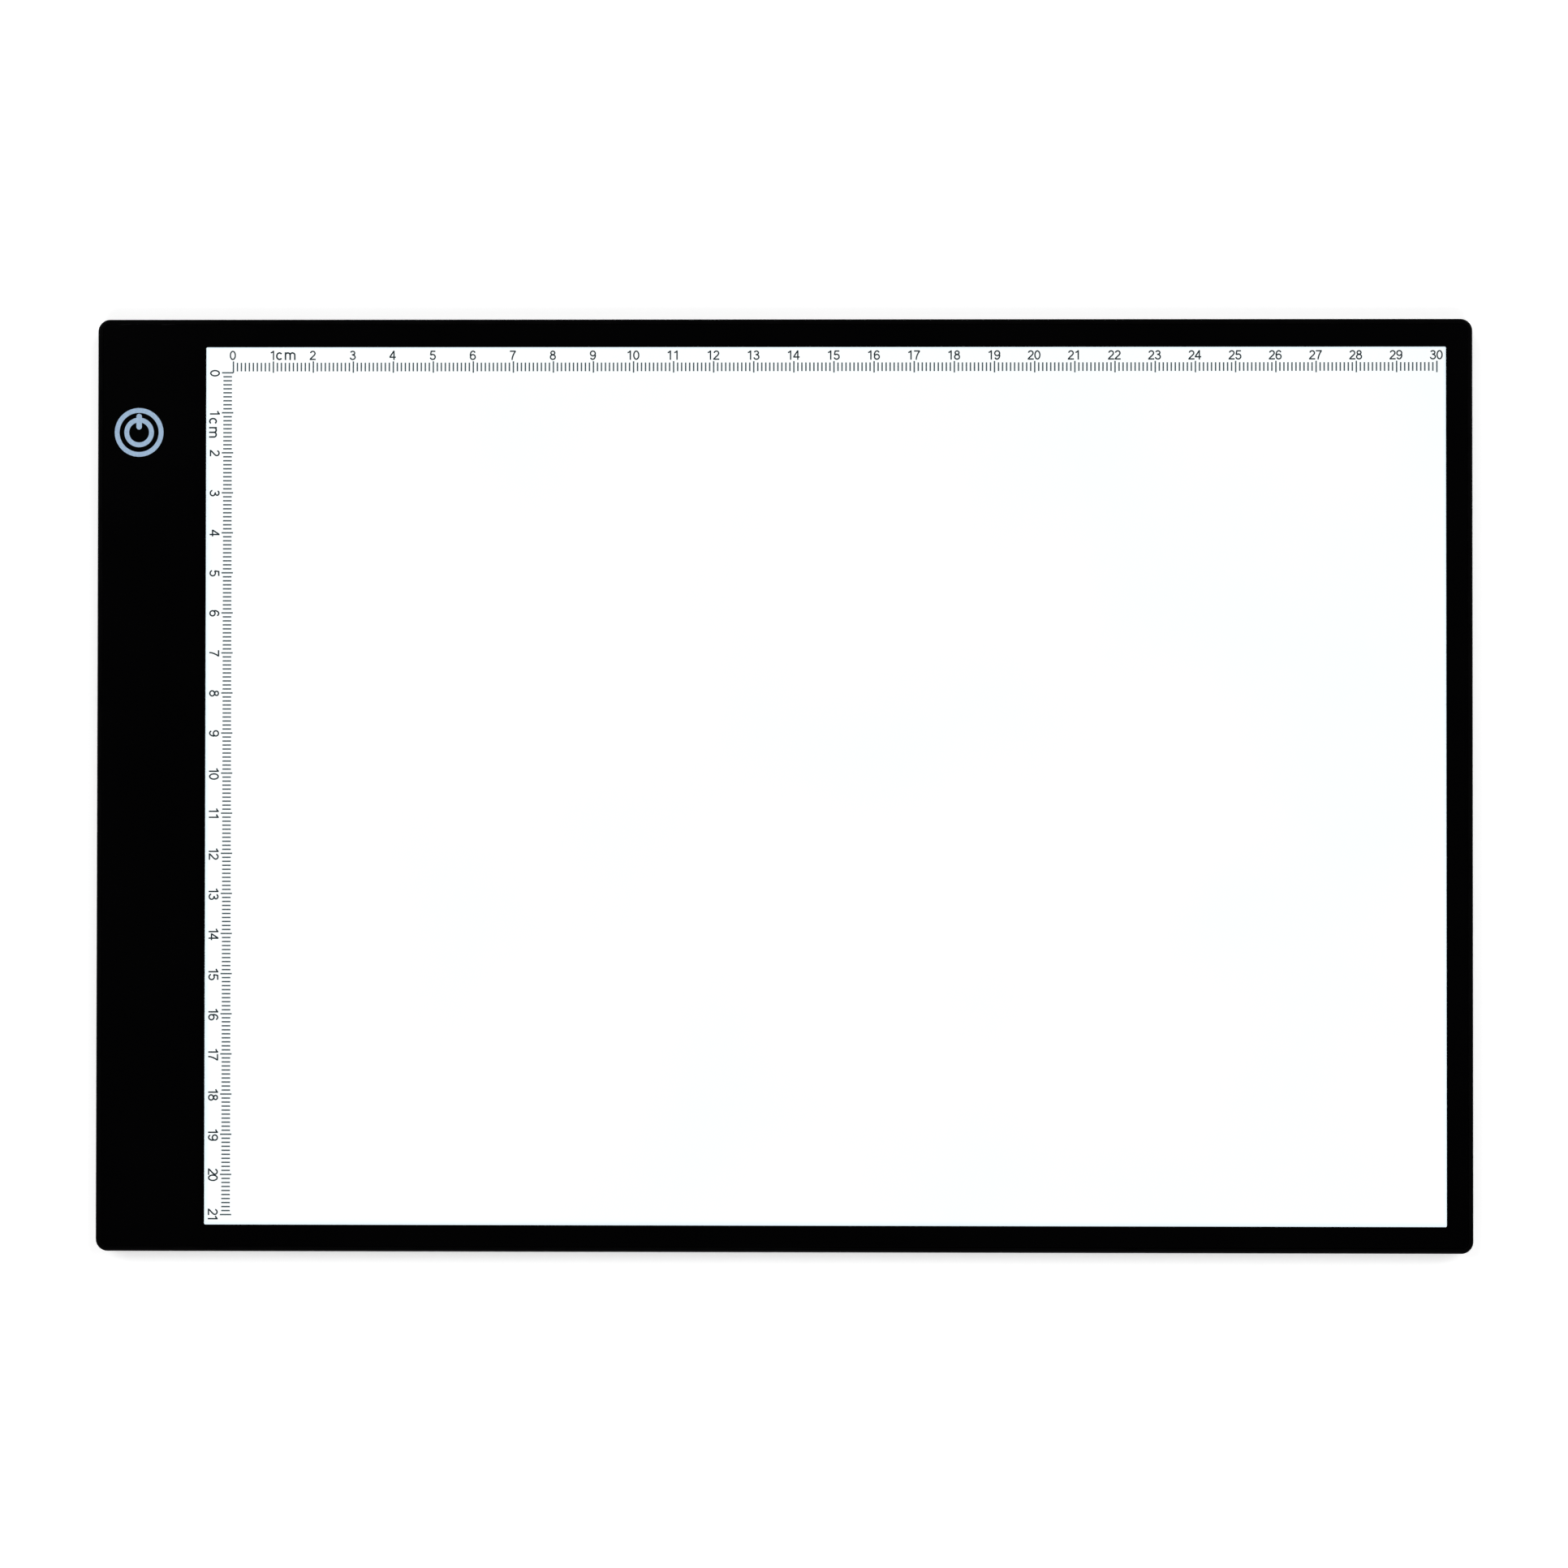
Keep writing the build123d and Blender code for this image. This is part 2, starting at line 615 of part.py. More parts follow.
def solder_joints():
    """Both ends of each wire: bare conductor and solder on the board, and solder behind the strip."""
    joints = []
    for side in (-1, 1):
        x, y = board_joint_place(side)
        bare = Pos(x, y - STRIPPED / 2, Z_WIRE) * Rot(90, 0, 0) * Cylinder(CONDUCTOR_R, STRIPPED)
        joints.append(Pos(x, y, Z_PARTS) * solder_cone(*BOARD_JOINT) + bare)
        at_strip = Pos(STRIP_X, wire_route(side)[-1][1], Z_WIRE) * Rot(0, -90, 0)
        joints.append(at_strip * solder_cone(*STRIP_JOINT))
    return joints


# ---------------------------------------------------------------- all of it
def nodes():
    """Every sub-part by its name."""
    places = led_places()
    made = {
        "middle_frame": middle_frame(),
        "rear_cover": rear_cover(),
        "rear_tape": tape(Z_INSIDE),
        "front_tape": tape(Z_PANEL - TAPE_T),
        "front_panel": front_panel(),
        "border_overlay": border_overlay(),
        "touch_key_symbol": key_symbol(Z_OVERLAY, Z_TOP),
        "diffuser_film": diffuser_film(),
        "light_guide_plate": light_guide_plate(),
        "reflector_film": reflector_film(),
        "guide_cushions": guide_cushions(),
        "led_shield_tape": led_shield_tape(),
        "led_strip_board": led_strip_board(),
        "led_strip_tape": led_strip_tape(),
        "led_packages": [led_package(y) for y in places],
        "led_lenses": [led_lens(y) for y in places],
        "control_board": control_board(),
        "board_screws": [board_screw(x, y) for x, y in SCREWS],
        "usb_socket_shell": usb_socket_shell(),
        "usb_socket_tongue": usb_socket_tongue(),
        "usb_socket_contacts": usb_socket_contacts(),
        "touch_spring": touch_spring(),
        "touch_chip": chip(KEY_X + 3.0, KEY_Y - 9.6, TOUCH_CHIP, 3, 3, TOUCH_CHIP_PITCH),
        "driver_transistor": chip(
            BOARD_LEFT + 3.0, BOARD_BOTTOM + 8.0, TRANSISTOR, 2, 1, TRANSISTOR_PITCH
        ),
        "chip_resistors": chip_resistors(),
        "chip_capacitors": chip_capacitors(),
        "red_wire": wire(1),
        "black_wire": wire(-1),
        "solder_joints": solder_joints(),
    }
    made.update({name: foot(x, y) for name, (x, y) in FEET.items()})
    return made


def as_shape(made):
    """One shape, or a compound of separate solids."""
    if isinstance(made, list):
        return Compound(children=[solid for shape in made for solid in shape.solids()])
    return made


os.makedirs("parts", exist_ok=True)
for name, made in nodes().items():
    export_step(as_shape(made), f"parts/{name}.step")
for label, side in (("red wire", 1), ("black wire", -1)):
    print(label, "bend radii", [round(r, 2) for r in bend_radii(wire_route(side))])
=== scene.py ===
"""The light box's looks: materials, printed rulers, the board's copper, a studio and the camera.

Metres, in the part's own frame: X along the long side, Y towards the power inlet, Z up.
"""

import math

import bmesh
import bpy
from mathutils import Matrix, Vector


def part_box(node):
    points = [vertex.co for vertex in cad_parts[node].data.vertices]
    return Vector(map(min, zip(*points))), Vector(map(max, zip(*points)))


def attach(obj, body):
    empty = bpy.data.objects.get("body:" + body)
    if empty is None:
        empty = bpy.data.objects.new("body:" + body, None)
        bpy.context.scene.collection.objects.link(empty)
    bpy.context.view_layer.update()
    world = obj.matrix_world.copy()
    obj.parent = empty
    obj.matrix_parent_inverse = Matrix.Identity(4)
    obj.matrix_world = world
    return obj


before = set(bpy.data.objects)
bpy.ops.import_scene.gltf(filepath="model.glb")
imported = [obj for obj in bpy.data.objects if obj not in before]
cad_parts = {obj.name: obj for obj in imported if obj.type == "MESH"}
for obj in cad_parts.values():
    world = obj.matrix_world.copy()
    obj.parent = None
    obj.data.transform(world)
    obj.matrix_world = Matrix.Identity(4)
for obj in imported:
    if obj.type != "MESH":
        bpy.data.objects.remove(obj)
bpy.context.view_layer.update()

MM = 0.001

# ---------------------------------------------------------------- places taken from the frame
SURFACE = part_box("front_panel")[1].z
BODY_LOW, BODY_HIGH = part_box("middle_frame")
BOARD_LOW, BOARD_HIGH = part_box("control_board")
SPRING_LOW, SPRING_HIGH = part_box("touch_spring")

# The lit window, inside the border's four widths.
BAND_LEFT, BAND_RIGHT, BAND_TOP, BAND_BOTTOM = 27.15 * MM, 6.65 * MM, 7.0 * MM, 6.7 * MM
WINDOW_LOW = Vector((BODY_LOW.x + BAND_LEFT, BODY_LOW.y + BAND_BOTTOM))
WINDOW_HIGH = Vector((BODY_HIGH.x - BAND_RIGHT, BODY_HIGH.y - BAND_TOP))

# The rulers' common zero, from the window's top left corner.
ZERO_RIGHT, ZERO_DOWN = 6.76 * MM, 6.35 * MM
ZERO = Vector((WINDOW_LOW.x + ZERO_RIGHT, WINDOW_HIGH.y - ZERO_DOWN))

# How far the ink stands above the window, and how far it reaches into it.
INK_UP, INK_DOWN = 0.02 * MM, 0.01 * MM


# ---------------------------------------------------------------- thin printed and etched shapes
# The sharpest corner that a band widens for, as a cosine.
MITRE_LIMIT = 0.5
# How near two points of a line, or two corners of a CAD solid, have to be to count as one.
SAME_PLACE, SAME_CORNER = 1e-9, 0.001 * MM


def rails(points, width):
    """The left and right edges of a band of that width along a line of points."""
    left, right = [], []
    for i, point in enumerate(points):
        before = points[max(i - 1, 0)]
        after = points[min(i + 1, len(points) - 1)]
        ahead = (after - before).normalized()
        into = (point - before).normalized() if i else ahead
        side = Vector((-ahead.y, ahead.x))
        reach = width / 2 / max(MITRE_LIMIT, into.dot(ahead))
        left.append(point + side * reach)
        right.append(point - side * reach)
    return left, right


def join_sections(mesh, rows, closed=False):
    """Skins a chain of four-cornered sections, with a face over each end of an open one."""
    pairs = list(zip(rows, rows[1:]))
    if closed:
        pairs.append((rows[-1], rows[0]))
    for a, b in pairs:
        for j in range(4):
            k = (j + 1) % 4
            mesh.faces.new((a[j], a[k], b[k], b[j]))
    if not closed:
        mesh.faces.new(rows[0][::-1])
        mesh.faces.new(rows[-1])


def section(mesh, left, right, low, high):
    """One section's four corners, between two points and two heights."""
    corners = ((left, high), (right, high), (right, low), (left, low))
    return [mesh.verts.new((c.x, c.y, z)) for c, z in corners]


def add_band(mesh, points, width, low, high):
    """Adds a band along a line of points, between two heights. It closes if the line does."""
    points = [Vector(p[:2]) for p in points]
    left, right = rails(points, width)
    closed = (points[0] - points[-1]).length < SAME_PLACE
    if closed:
        ahead = (points[1] - points[-2]).normalized()
        side = Vector((-ahead.y, ahead.x)) * width / 2
        left[0] = left[-1] = points[0] + side
        right[0] = right[-1] = points[0] - side
    count = len(points) - 1 if closed else len(points)
    rows = [section(mesh, left[i], right[i], low, high) for i in range(count)]
    join_sections(mesh, rows, closed)


def long_axis(low, high):
    """Which way a box in plan is longer: 0 along X, 1 along Y."""
    return 0 if high.x - low.x > high.y - low.y else 1


def finished(name, mesh):
    """Makes an object of a bmesh, with its faces turned outwards."""
    bmesh.ops.recalc_face_normals(mesh, faces=mesh.faces)
    data = bpy.data.meshes.new(name)
    mesh.to_mesh(data)
    mesh.free()
    made = bpy.data.objects.new(name, data)
    bpy.context.scene.collection.objects.link(made)
    return made


def riding(made, look):
    """Gives a piece its material and its slot, and lets it ride with the casing."""
    made.data.materials.append(look)
    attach(made, "root")


def arc(centre, across, up, start, end, steps):
    """Points on an oval from one angle to another, in degrees anticlockwise from the right."""
    angles = [math.radians(start + (end - start) * i / steps) for i in range(steps + 1)]
    return [(centre[0] + across * math.cos(a), centre[1] + up * math.sin(a)) for a in angles]


# ---------------------------------------------------------------- numerals
# Plain numerals, drawn as strokes in a box one unit high, on a base line at zero: the strokes'
# width, the middle of a numeral, and the heights of a stroke that touches the box's bottom or top.
STROKE = 0.143
MIDDLE = 0.385
LOW, HIGH = STROKE / 2, 1 - STROKE / 2


def strokes():
    """Each sign's strokes, as lines of points."""
    six = [
        arc((0.39, 0.315), 0.257, 0.253, 0, 360, 32),
        arc((0.41, 0.53), 0.282, 0.4075, 190, 90, 16)[:-1]
        + arc((0.40, 0.74), 0.215, 0.1975, 88, 8, 10),
    ]
    arch = [(0.06, 0.40)] + arc((0.275, 0.47), 0.215, 0.19, 180, 0, 12) + [(0.49, 0)]
    return {
        "0": [arc((MIDDLE, 0.5), 0.262, HIGH - 0.5, 0, 360, 36)],
        "1": [[(0.458, 0), (0.458, 1)], [(0.44, 0.93), (0.37, 0.86), (0.27, 0.80), (0.165, 0.76)]],
        "2": [
            arc((MIDDLE, 0.70), 0.24, HIGH - 0.70, 172, -28, 18)
            + [(0.50, 0.47), (0.30, 0.29), (0.17, 0.16), (0.12, LOW)],
            [(0.05, LOW), (0.70, LOW)],
        ],
        "3": [
            arc((0.375, 0.745), 0.215, HIGH - 0.745, 165, -88, 18) + [(0.29, 0.552)],
            arc((0.375, 0.3), 0.262, 0.2375, 92, -172, 24),
        ],
        "4": [
            [(0.50, 0.96), (0.075, 0.30)],
            [(0.03, 0.295), (0.71, 0.295)],
            [(0.513, 0), (0.513, 1)],
        ],
        "5": [
            [(0.19, HIGH), (0.665, HIGH)],
            [(0.225, 0.97), (0.15, 0.50)],
            arc((0.38, 0.325), 0.265, 0.2625, 140, -165, 26),
        ],
        "6": six,
        "7": [
            [(0.07, HIGH), (0.70, HIGH)],
            [(0.675, 0.93), (0.53, 0.73), (0.41, 0.48), (0.335, 0.24), (0.305, 0)],
        ],
        "8": [
            arc((MIDDLE, 0.745), 0.208, HIGH - 0.745, 0, 360, 28),
            arc((MIDDLE, 0.3), 0.258, 0.2375, 0, 360, 32),
        ],
        "9": [[(2 * MIDDLE - x, 1 - y) for x, y in line] for line in six],
        "c": [arc((0.345, 0.3625), 0.25, 0.30, 40, 320, 24)],
        "m": [[(0.06, 0), (0.06, 0.725)], arch, [(x + 0.43, y) for x, y in arch]],
    }


def united(lines):
    """One sign's strokes as a single closed solid, one unit thick."""
    parts = []
    for line in lines:
        mesh = bmesh.new()
        add_band(mesh, [Vector(p) for p in line], STROKE, 0, 1)
        parts.append(finished("sign", mesh))
    whole = parts[0]
    for part in parts[1:]:
        union = whole.modifiers.new("union", "BOOLEAN")
        union.operation = "UNION"
        union.solver = "EXACT"
        union.object = part
        depsgraph = bpy.context.evaluated_depsgraph_get()
        joined = bpy.data.meshes.new_from_object(whole.evaluated_get(depsgraph))
        whole.modifiers.clear()
        whole.data = joined
        bpy.data.objects.remove(part)
    shape = whole.data
    bpy.data.objects.remove(whole)
    return shape


SIGNS = {sign: united(lines) for sign, lines in strokes().items()}


def add_text(mesh, text, centre, height, spacing, turn):
    """Writes a line of signs about centre, turned by that angle, and raised as ink."""
    width = spacing * (len(text) - 1) + 2 * MIDDLE
    turned = Matrix.Rotation(turn, 4, "Z")
    for i, sign in enumerate(text):
        start = Vector((i * spacing - width / 2, -0.5, 0))
        place = (
            Matrix.Translation((centre[0], centre[1], SURFACE - INK_DOWN))
            @ turned
            @ Matrix.Diagonal((height, height, INK_UP + INK_DOWN, 1))
            @ Matrix.Translation(start)
        )
        before = set(mesh.verts)
        mesh.from_mesh(SIGNS[sign])
        bmesh.ops.transform(mesh, matrix=place, verts=[v for v in mesh.verts if v not in before])


# ---------------------------------------------------------------- the rulers
MM_PER_CM = 10
TICK_WIDTH = 0.36 * MM
# Where a line begins and ends, outwards from the ruler's base line.
SHORT_TICK = (0.34 * MM, 2.51 * MM)
LONG_TICK = (0.0, 2.85 * MM)
UNIT_HEIGHT = 2.7 * MM

# Each ruler's length, its digits' height, their spacing in heights, how far out from the base line
# and along from their line they stand, and how far along the unit's letters stand.
TOP_RULER = {
    "sideways": False,
    "centimetres": 30,
    "digit": 2.35 * MM,
    "spacing": 0.70,
    "out": 4.35 * MM,
    "along": -0.15 * MM,
    "unit": (("c", 11.62 * MM), ("m", 13.9 * MM)),
}
SIDE_RULER = {
    "sideways": True,
    "centimetres": 21,
    "digit": 2.5 * MM,
    "spacing": 0.60,
    "out": 4.6 * MM,
    "along": 0.1 * MM,
    "unit": (("c", 12.22 * MM), ("m", 14.6 * MM)),
}


def ruler_point(ruler, along, out):
    """A point that far along a ruler and that far out from its base line."""
    if ruler["sideways"]:
        return Vector((ZERO.x - out, ZERO.y - along))
    return Vector((ZERO.x + along, ZERO.y + out))


def ruler_ticks(name, ruler, look):
    """A ruler's lines: one each millimetre, and longer ones each centimetre."""
    mesh = bmesh.new()
    for i in range(ruler["centimetres"] * MM_PER_CM + 1):
        near, far = LONG_TICK if i % MM_PER_CM == 0 else SHORT_TICK
        ends = [ruler_point(ruler, i * MM, out) for out in (near, far)]
        add_band(mesh, ends, TICK_WIDTH, SURFACE - INK_DOWN, SURFACE + INK_UP)
    riding(finished(name, mesh), look)


def ruler_numerals(name, ruler, look):
    """A ruler's numbers, one each centimetre, and its unit after the one."""
    mesh = bmesh.new()
    turn = -math.pi / 2 if ruler["sideways"] else 0
    for i in range(ruler["centimetres"] + 1):
        centre = ruler_point(ruler, i * MM_PER_CM * MM + ruler["along"], ruler["out"])
        add_text(mesh, str(i), centre, ruler["digit"], ruler["spacing"], turn)
    base = ruler["out"] + (UNIT_HEIGHT - ruler["digit"]) / 2
    for sign, along in ruler["unit"]:
        add_text(mesh, sign, ruler_point(ruler, along, base), UNIT_HEIGHT, ruler["spacing"], turn)
    riding(finished(name, mesh), look)


# ---------------------------------------------------------------- the board's copper and print
# How far each layer stands above the board, and how far all of them reach into it.
MASK_UP = 0.03 * MM
PAD_UP = 0.04 * MM
PRINT_UP = 0.02 * MM
SUNK = 0.01 * MM

# A chip part's pads: length, how far past its ends their middles lie, and the margin beside it.
END_PAD, END_PAD_OUT, PAD_MARGIN = 0.8 * MM, 0.05 * MM, 0.12 * MM
# The slope of solder on it: how far it reaches, and its height and width as shares of the part's.
END_SLOPE, END_SLOPE_HEIGHT, SLOPE_WIDTH = 0.36 * MM, 0.6, 0.9
SLOPE_STEPS = 5
# The same at a chip's legs, with the pad set back from the toe by a share of the slope.
LEG_WIDTH, LEG_PAD = 0.4 * MM, 0.95 * MM
TOE_SLOPE, TOE_SLOPE_HEIGHT, TOE_PAD_BACK = 0.3 * MM, 0.13 * MM, 0.3
# Each chip's legs: their pitch in millimetres, and how many stand on its lower and upper sides.
CHIP_LEGS = {"touch_chip": (0.95, 3, 3), "driver_transistor": (1.9, 2, 1)}

# The inlet's pads: length, width, and how far in from the contacts' toes or the shell's sides.
# The shell's also have places along it, from its mouth and from its back.
CONTACT_PAD, CONTACT_PAD_WIDTH, CONTACT_PAD_IN = 1.1 * MM, 0.36 * MM, 0.25 * MM
TAB_PAD, TAB_PAD_WIDTH, TAB_PAD_IN = 1.2 * MM, 1.5 * MM, 0.35 * MM
TAB_FROM_MOUTH, TAB_FROM_BACK = 2.6 * MM, 0.5 * MM

# Rings of solder: the radius of their middle line, and their width. A joint's ring is centred the
# joint's radius in from its upper end. The spring's ring lies under the middle of its wire.
JOINT_R, JOINT_RING, JOINT_RING_WIDTH = 0.9 * MM, 0.75 * MM, 0.6 * MM
SCREW_RING, SCREW_RING_WIDTH = 1.45 * MM, 0.9 * MM
SPRING_WIRE_R, SPRING_RING_WIDTH = 0.17 * MM, 0.9 * MM
VIA_RING, VIA_RING_WIDTH = 0.28 * MM, 0.24 * MM
RING_STEPS = 40
# A test pad is a ring so wide that only a pinhole is left.
TEST_PAD_R, TEST_PAD_FILL = 0.55 * MM, 0.99

# Places on the board, in millimetres from its lower left corner.
VIAS = (
    *((8.5, 29.2), (7.0, 32.2), (2.3, 13.4), (12.5, 3.3), (8.4, 27.6)),
    *((10.6, 25.4), (10.9, 34.4), (1.2, 40.2), (3.4, 28.6)),
)
TEST_PADS = ((2.4, 31.0), (4.0, 31.0), (5.6, 31.0))
# The wires' signs: half a stroke's length, and half the gap that the upright leaves for the other.
PLUS_SIGN, MINUS_SIGN = (11.9, 3.1), (7.7, 3.1)
SIGN_REACH, SIGN_GAP = 0.4, 0.08

# Tracks, thick and thin, each as a line of places.
POWER, SIGNAL = 0.7 * MM, 0.3 * MM
TRACKS = {
    POWER: (
        ((5.4, 41.0), (5.4, 37.2), (6.1, 36.3), (6.1, 34.1)),
        (
            *((8.0, 41.0), (8.0, 39.6), (9.0, 38.4), (9.0, 33.0)),
            *((12.0, 29.8), (12.0, 20.0), (12.7, 18.9), (12.7, 9.0)),
        ),
        ((12.7, 9.0), (12.7, 6.6), (11.0, 4.6)),
        ((4.7, 34.1), (2.9, 34.1)),
    ),
    SIGNAL: (
        ((1.4, 34.1), (1.4, 28.0), (0.7, 27.1), (0.7, 12.6), (1.6, 11.5), (1.6, 11.0)),
        ((6.05, 41.0), (6.05, 39.0), (7.0, 37.9), (7.0, 32.2)),
        ((6.7, 41.0), (6.7, 39.5), (7.7, 38.4), (7.7, 31.0), (8.5, 30.0), (8.5, 29.2)),
        ((6.95, 13.9), (6.95, 14.7), (6.3, 15.5)),
        ((6.95, 12.4), (6.95, 12.1), (7.4, 11.6)),
        ((8.35, 11.6), (8.35, 12.4), (9.0, 13.2), (10.7, 13.2), (11.2, 12.8)),
        ((9.3, 11.6), (9.9, 11.6), (10.6, 10.9), (11.2, 10.9)),
        ((9.3, 8.8), (9.3, 8.2), (10.5, 8.2), (11.2, 9.0)),
        ((7.4, 8.8), (7.4, 7.3), (6.5, 6.3), (4.0, 6.3), (4.0, 6.8)),
        ((8.35, 8.8), (8.35, 6.1), (8.9, 5.4), (8.9, 4.6)),
        ((3.0, 9.2), (3.0, 11.4), (2.3, 12.3), (2.3, 13.4)),
        (
            *((2.05, 6.8), (2.05, 5.6), (3.6, 4.3), (6.6, 4.3)),
            *((7.3, 3.6), (7.3, 2.5), (7.8, 2.0), (11.4, 2.0), (12.5, 3.3)),
        ),
        ((11.2, 14.7), (10.2, 14.7), (9.4, 15.7), (9.4, 26.4), (8.4, 27.6)),
        ((11.2, 16.6), (10.6, 17.2), (10.6, 25.4)),
    ),
}

# The white print: its lines' width, how far it stands from a part, and the broken ring round the
# spring, with each of its breaks' half width in degrees.
LEGEND_LINE, LEGEND_GAP = 0.15 * MM, 0.3 * MM
SPRING_LEGEND_R, SPRING_LEGEND_BREAK = 5.15 * MM, 8


def islands(node):
    """The lowest and highest corners of each separate solid in a CAD node."""
    mesh = bmesh.new()
    mesh.from_mesh(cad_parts[node].data)
    bmesh.ops.remove_doubles(mesh, verts=mesh.verts, dist=SAME_CORNER)
    mesh.verts.index_update()
    seen, found = set(), []
    for vert in mesh.verts:
        if vert.index in seen:
            continue
        seen.add(vert.index)
        group, waiting = [], [vert]
        while waiting:
            here = waiting.pop()
            group.append(here.co.copy())
            for edge in here.link_edges:
                other = edge.other_vert(here)
                if other.index not in seen:
                    seen.add(other.index)
                    waiting.append(other)
        low = Vector([min(point[i] for point in group) for i in range(3)])
        high = Vector([max(point[i] for point in group) for i in range(3)])
        found.append((low, high))
    mesh.free()
    return found


def on_board(point):
    """A point given in millimetres from the board's lower left corner."""
    return (BOARD_LOW.x + point[0] * MM, BOARD_LOW.y + point[1] * MM)


def round_band(mesh, centre, radius, width):
    """A ring of solder on the board."""
    ring = arc(centre, radius, radius, 0, 360, RING_STEPS)
    add_band(mesh, ring, width, BOARD_HIGH.z - SUNK, BOARD_HIGH.z + PAD_UP)


def add_pad(mesh, middle, along, across, axis):
    """A soldering pad about a point, of that length along one axis."""
    step = Vector((along / 2, 0)) if axis == 0 else Vector((0, along / 2))
    ends = [middle - step, middle + step]
    add_band(mesh, ends, across, BOARD_HIGH.z - SUNK, BOARD_HIGH.z + PAD_UP)


def add_slope(mesh, root, foot, width, height):
    """A hollow slope of solder, from a part's end down towards the end of its pad."""
    ahead = foot - root
    side = Vector((-ahead.y, ahead.x)).normalized() * width / 2
    rows = []
    for i in range(SLOPE_STEPS + 1):
        share = i / SLOPE_STEPS
        place = root + ahead * share
        top = BOARD_HIGH.z + PAD_UP + height * (1 - share) ** 2
        rows.append(section(mesh, place + side, place - side, BOARD_HIGH.z + SUNK, top))
    join_sections(mesh, rows)


def leg_places():
    """Where each chip leg's toe meets the board: a point, and which way along Y the leg points."""
    places = []
    for node, (pitch, lower, upper) in CHIP_LEGS.items():
        low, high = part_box(node)
        for y, side, count in ((low.y, -1, lower), (high.y, 1, upper)):
            for i in range(count):
                x = (low.x + high.x) / 2 + (i - (count - 1) / 2) * pitch * MM
                places.append((Vector((x, y)), side))
    return places


def chip_pads(mesh):
    """A pad and a slope of solder at both ends of each chip part, and at each leg of the chips."""
    for low, high in islands("chip_resistors") + islands("chip_capacitors"):
        axis = long_axis(low, high)
        across = high[1 - axis] - low[1 - axis]
        for side, end in ((-1, low[axis]), (1, high[axis])):
            root, foot, pad = [((low + high) / 2).to_2d() for _ in range(3)]
            root[axis] = end
            foot[axis] = end + side * END_SLOPE
            pad[axis] = end + side * END_PAD_OUT
            add_slope(mesh, root, foot, across * SLOPE_WIDTH, (high.z - low.z) * END_SLOPE_HEIGHT)
            add_pad(mesh, pad, END_PAD, across + 2 * PAD_MARGIN, axis)
    for toe, side in leg_places():
        ahead = Vector((0, side * TOE_SLOPE))
        add_pad(mesh, toe - ahead * TOE_PAD_BACK, LEG_PAD, LEG_WIDTH + PAD_MARGIN, 1)
        add_slope(mesh, toe, toe + ahead, LEG_WIDTH * SLOPE_WIDTH, TOE_SLOPE_HEIGHT)


def inlet_pads(mesh):
    """Pads under the inlet's contacts and under the four tabs of its shell."""
    for low, high in islands("usb_socket_contacts"):
        middle = Vector(((low.x + high.x) / 2, low.y + CONTACT_PAD_IN))
        add_pad(mesh, middle, CONTACT_PAD, CONTACT_PAD_WIDTH, 1)
    low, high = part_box("usb_socket_shell")
    for x in (low.x + TAB_PAD_IN, high.x - TAB_PAD_IN):
        for y in (high.y - TAB_FROM_MOUTH, low.y + TAB_FROM_BACK):
            add_pad(mesh, Vector((x, y)), TAB_PAD, TAB_PAD_WIDTH, 0)


def round_pads(mesh):
    """Rings under the wires' joints, the screws and the spring, and the vias and test pads."""
    for low, high in islands("solder_joints"):
        on_the_board = abs(low.z - BOARD_HIGH.z) < PAD_UP
        if on_the_board:
            centre = ((low.x + high.x) / 2, high.y - JOINT_R)
            round_band(mesh, centre, JOINT_RING, JOINT_RING_WIDTH)
    for low, high in islands("board_screws"):
        round_band(mesh, (low + high) / 2, SCREW_RING, SCREW_RING_WIDTH)
    spring_r = (SPRING_HIGH.x - SPRING_LOW.x) / 2 - SPRING_WIRE_R
    round_band(mesh, (SPRING_LOW + SPRING_HIGH) / 2, spring_r, SPRING_RING_WIDTH)
    for via in VIAS:
        round_band(mesh, on_board(via), VIA_RING, VIA_RING_WIDTH)
    for pad in TEST_PADS:
        round_band(mesh, on_board(pad), TEST_PAD_R / 2, TEST_PAD_R * TEST_PAD_FILL)


def board_pads(look):
    """All the tinned pads and slopes of solder."""
    mesh = bmesh.new()
    chip_pads(mesh)
    inlet_pads(mesh)
    round_pads(mesh)
    riding(finished("board_pads", mesh), look)


def board_tracks(look):
    """Copper tracks under the green mask, as low ridges."""
    mesh = bmesh.new()
    for width, tracks in TRACKS.items():
        for track in tracks:
            line = [on_board(point) for point in track]
            add_band(mesh, line, width, BOARD_HIGH.z - SUNK, BOARD_HIGH.z + MASK_UP)
    riding(finished("board_tracks", mesh), look)


def legend_line(mesh, *points):
    """One printed line."""
    add_band(mesh, points, LEGEND_LINE, BOARD_HIGH.z - SUNK, BOARD_HIGH.z + PRINT_UP)


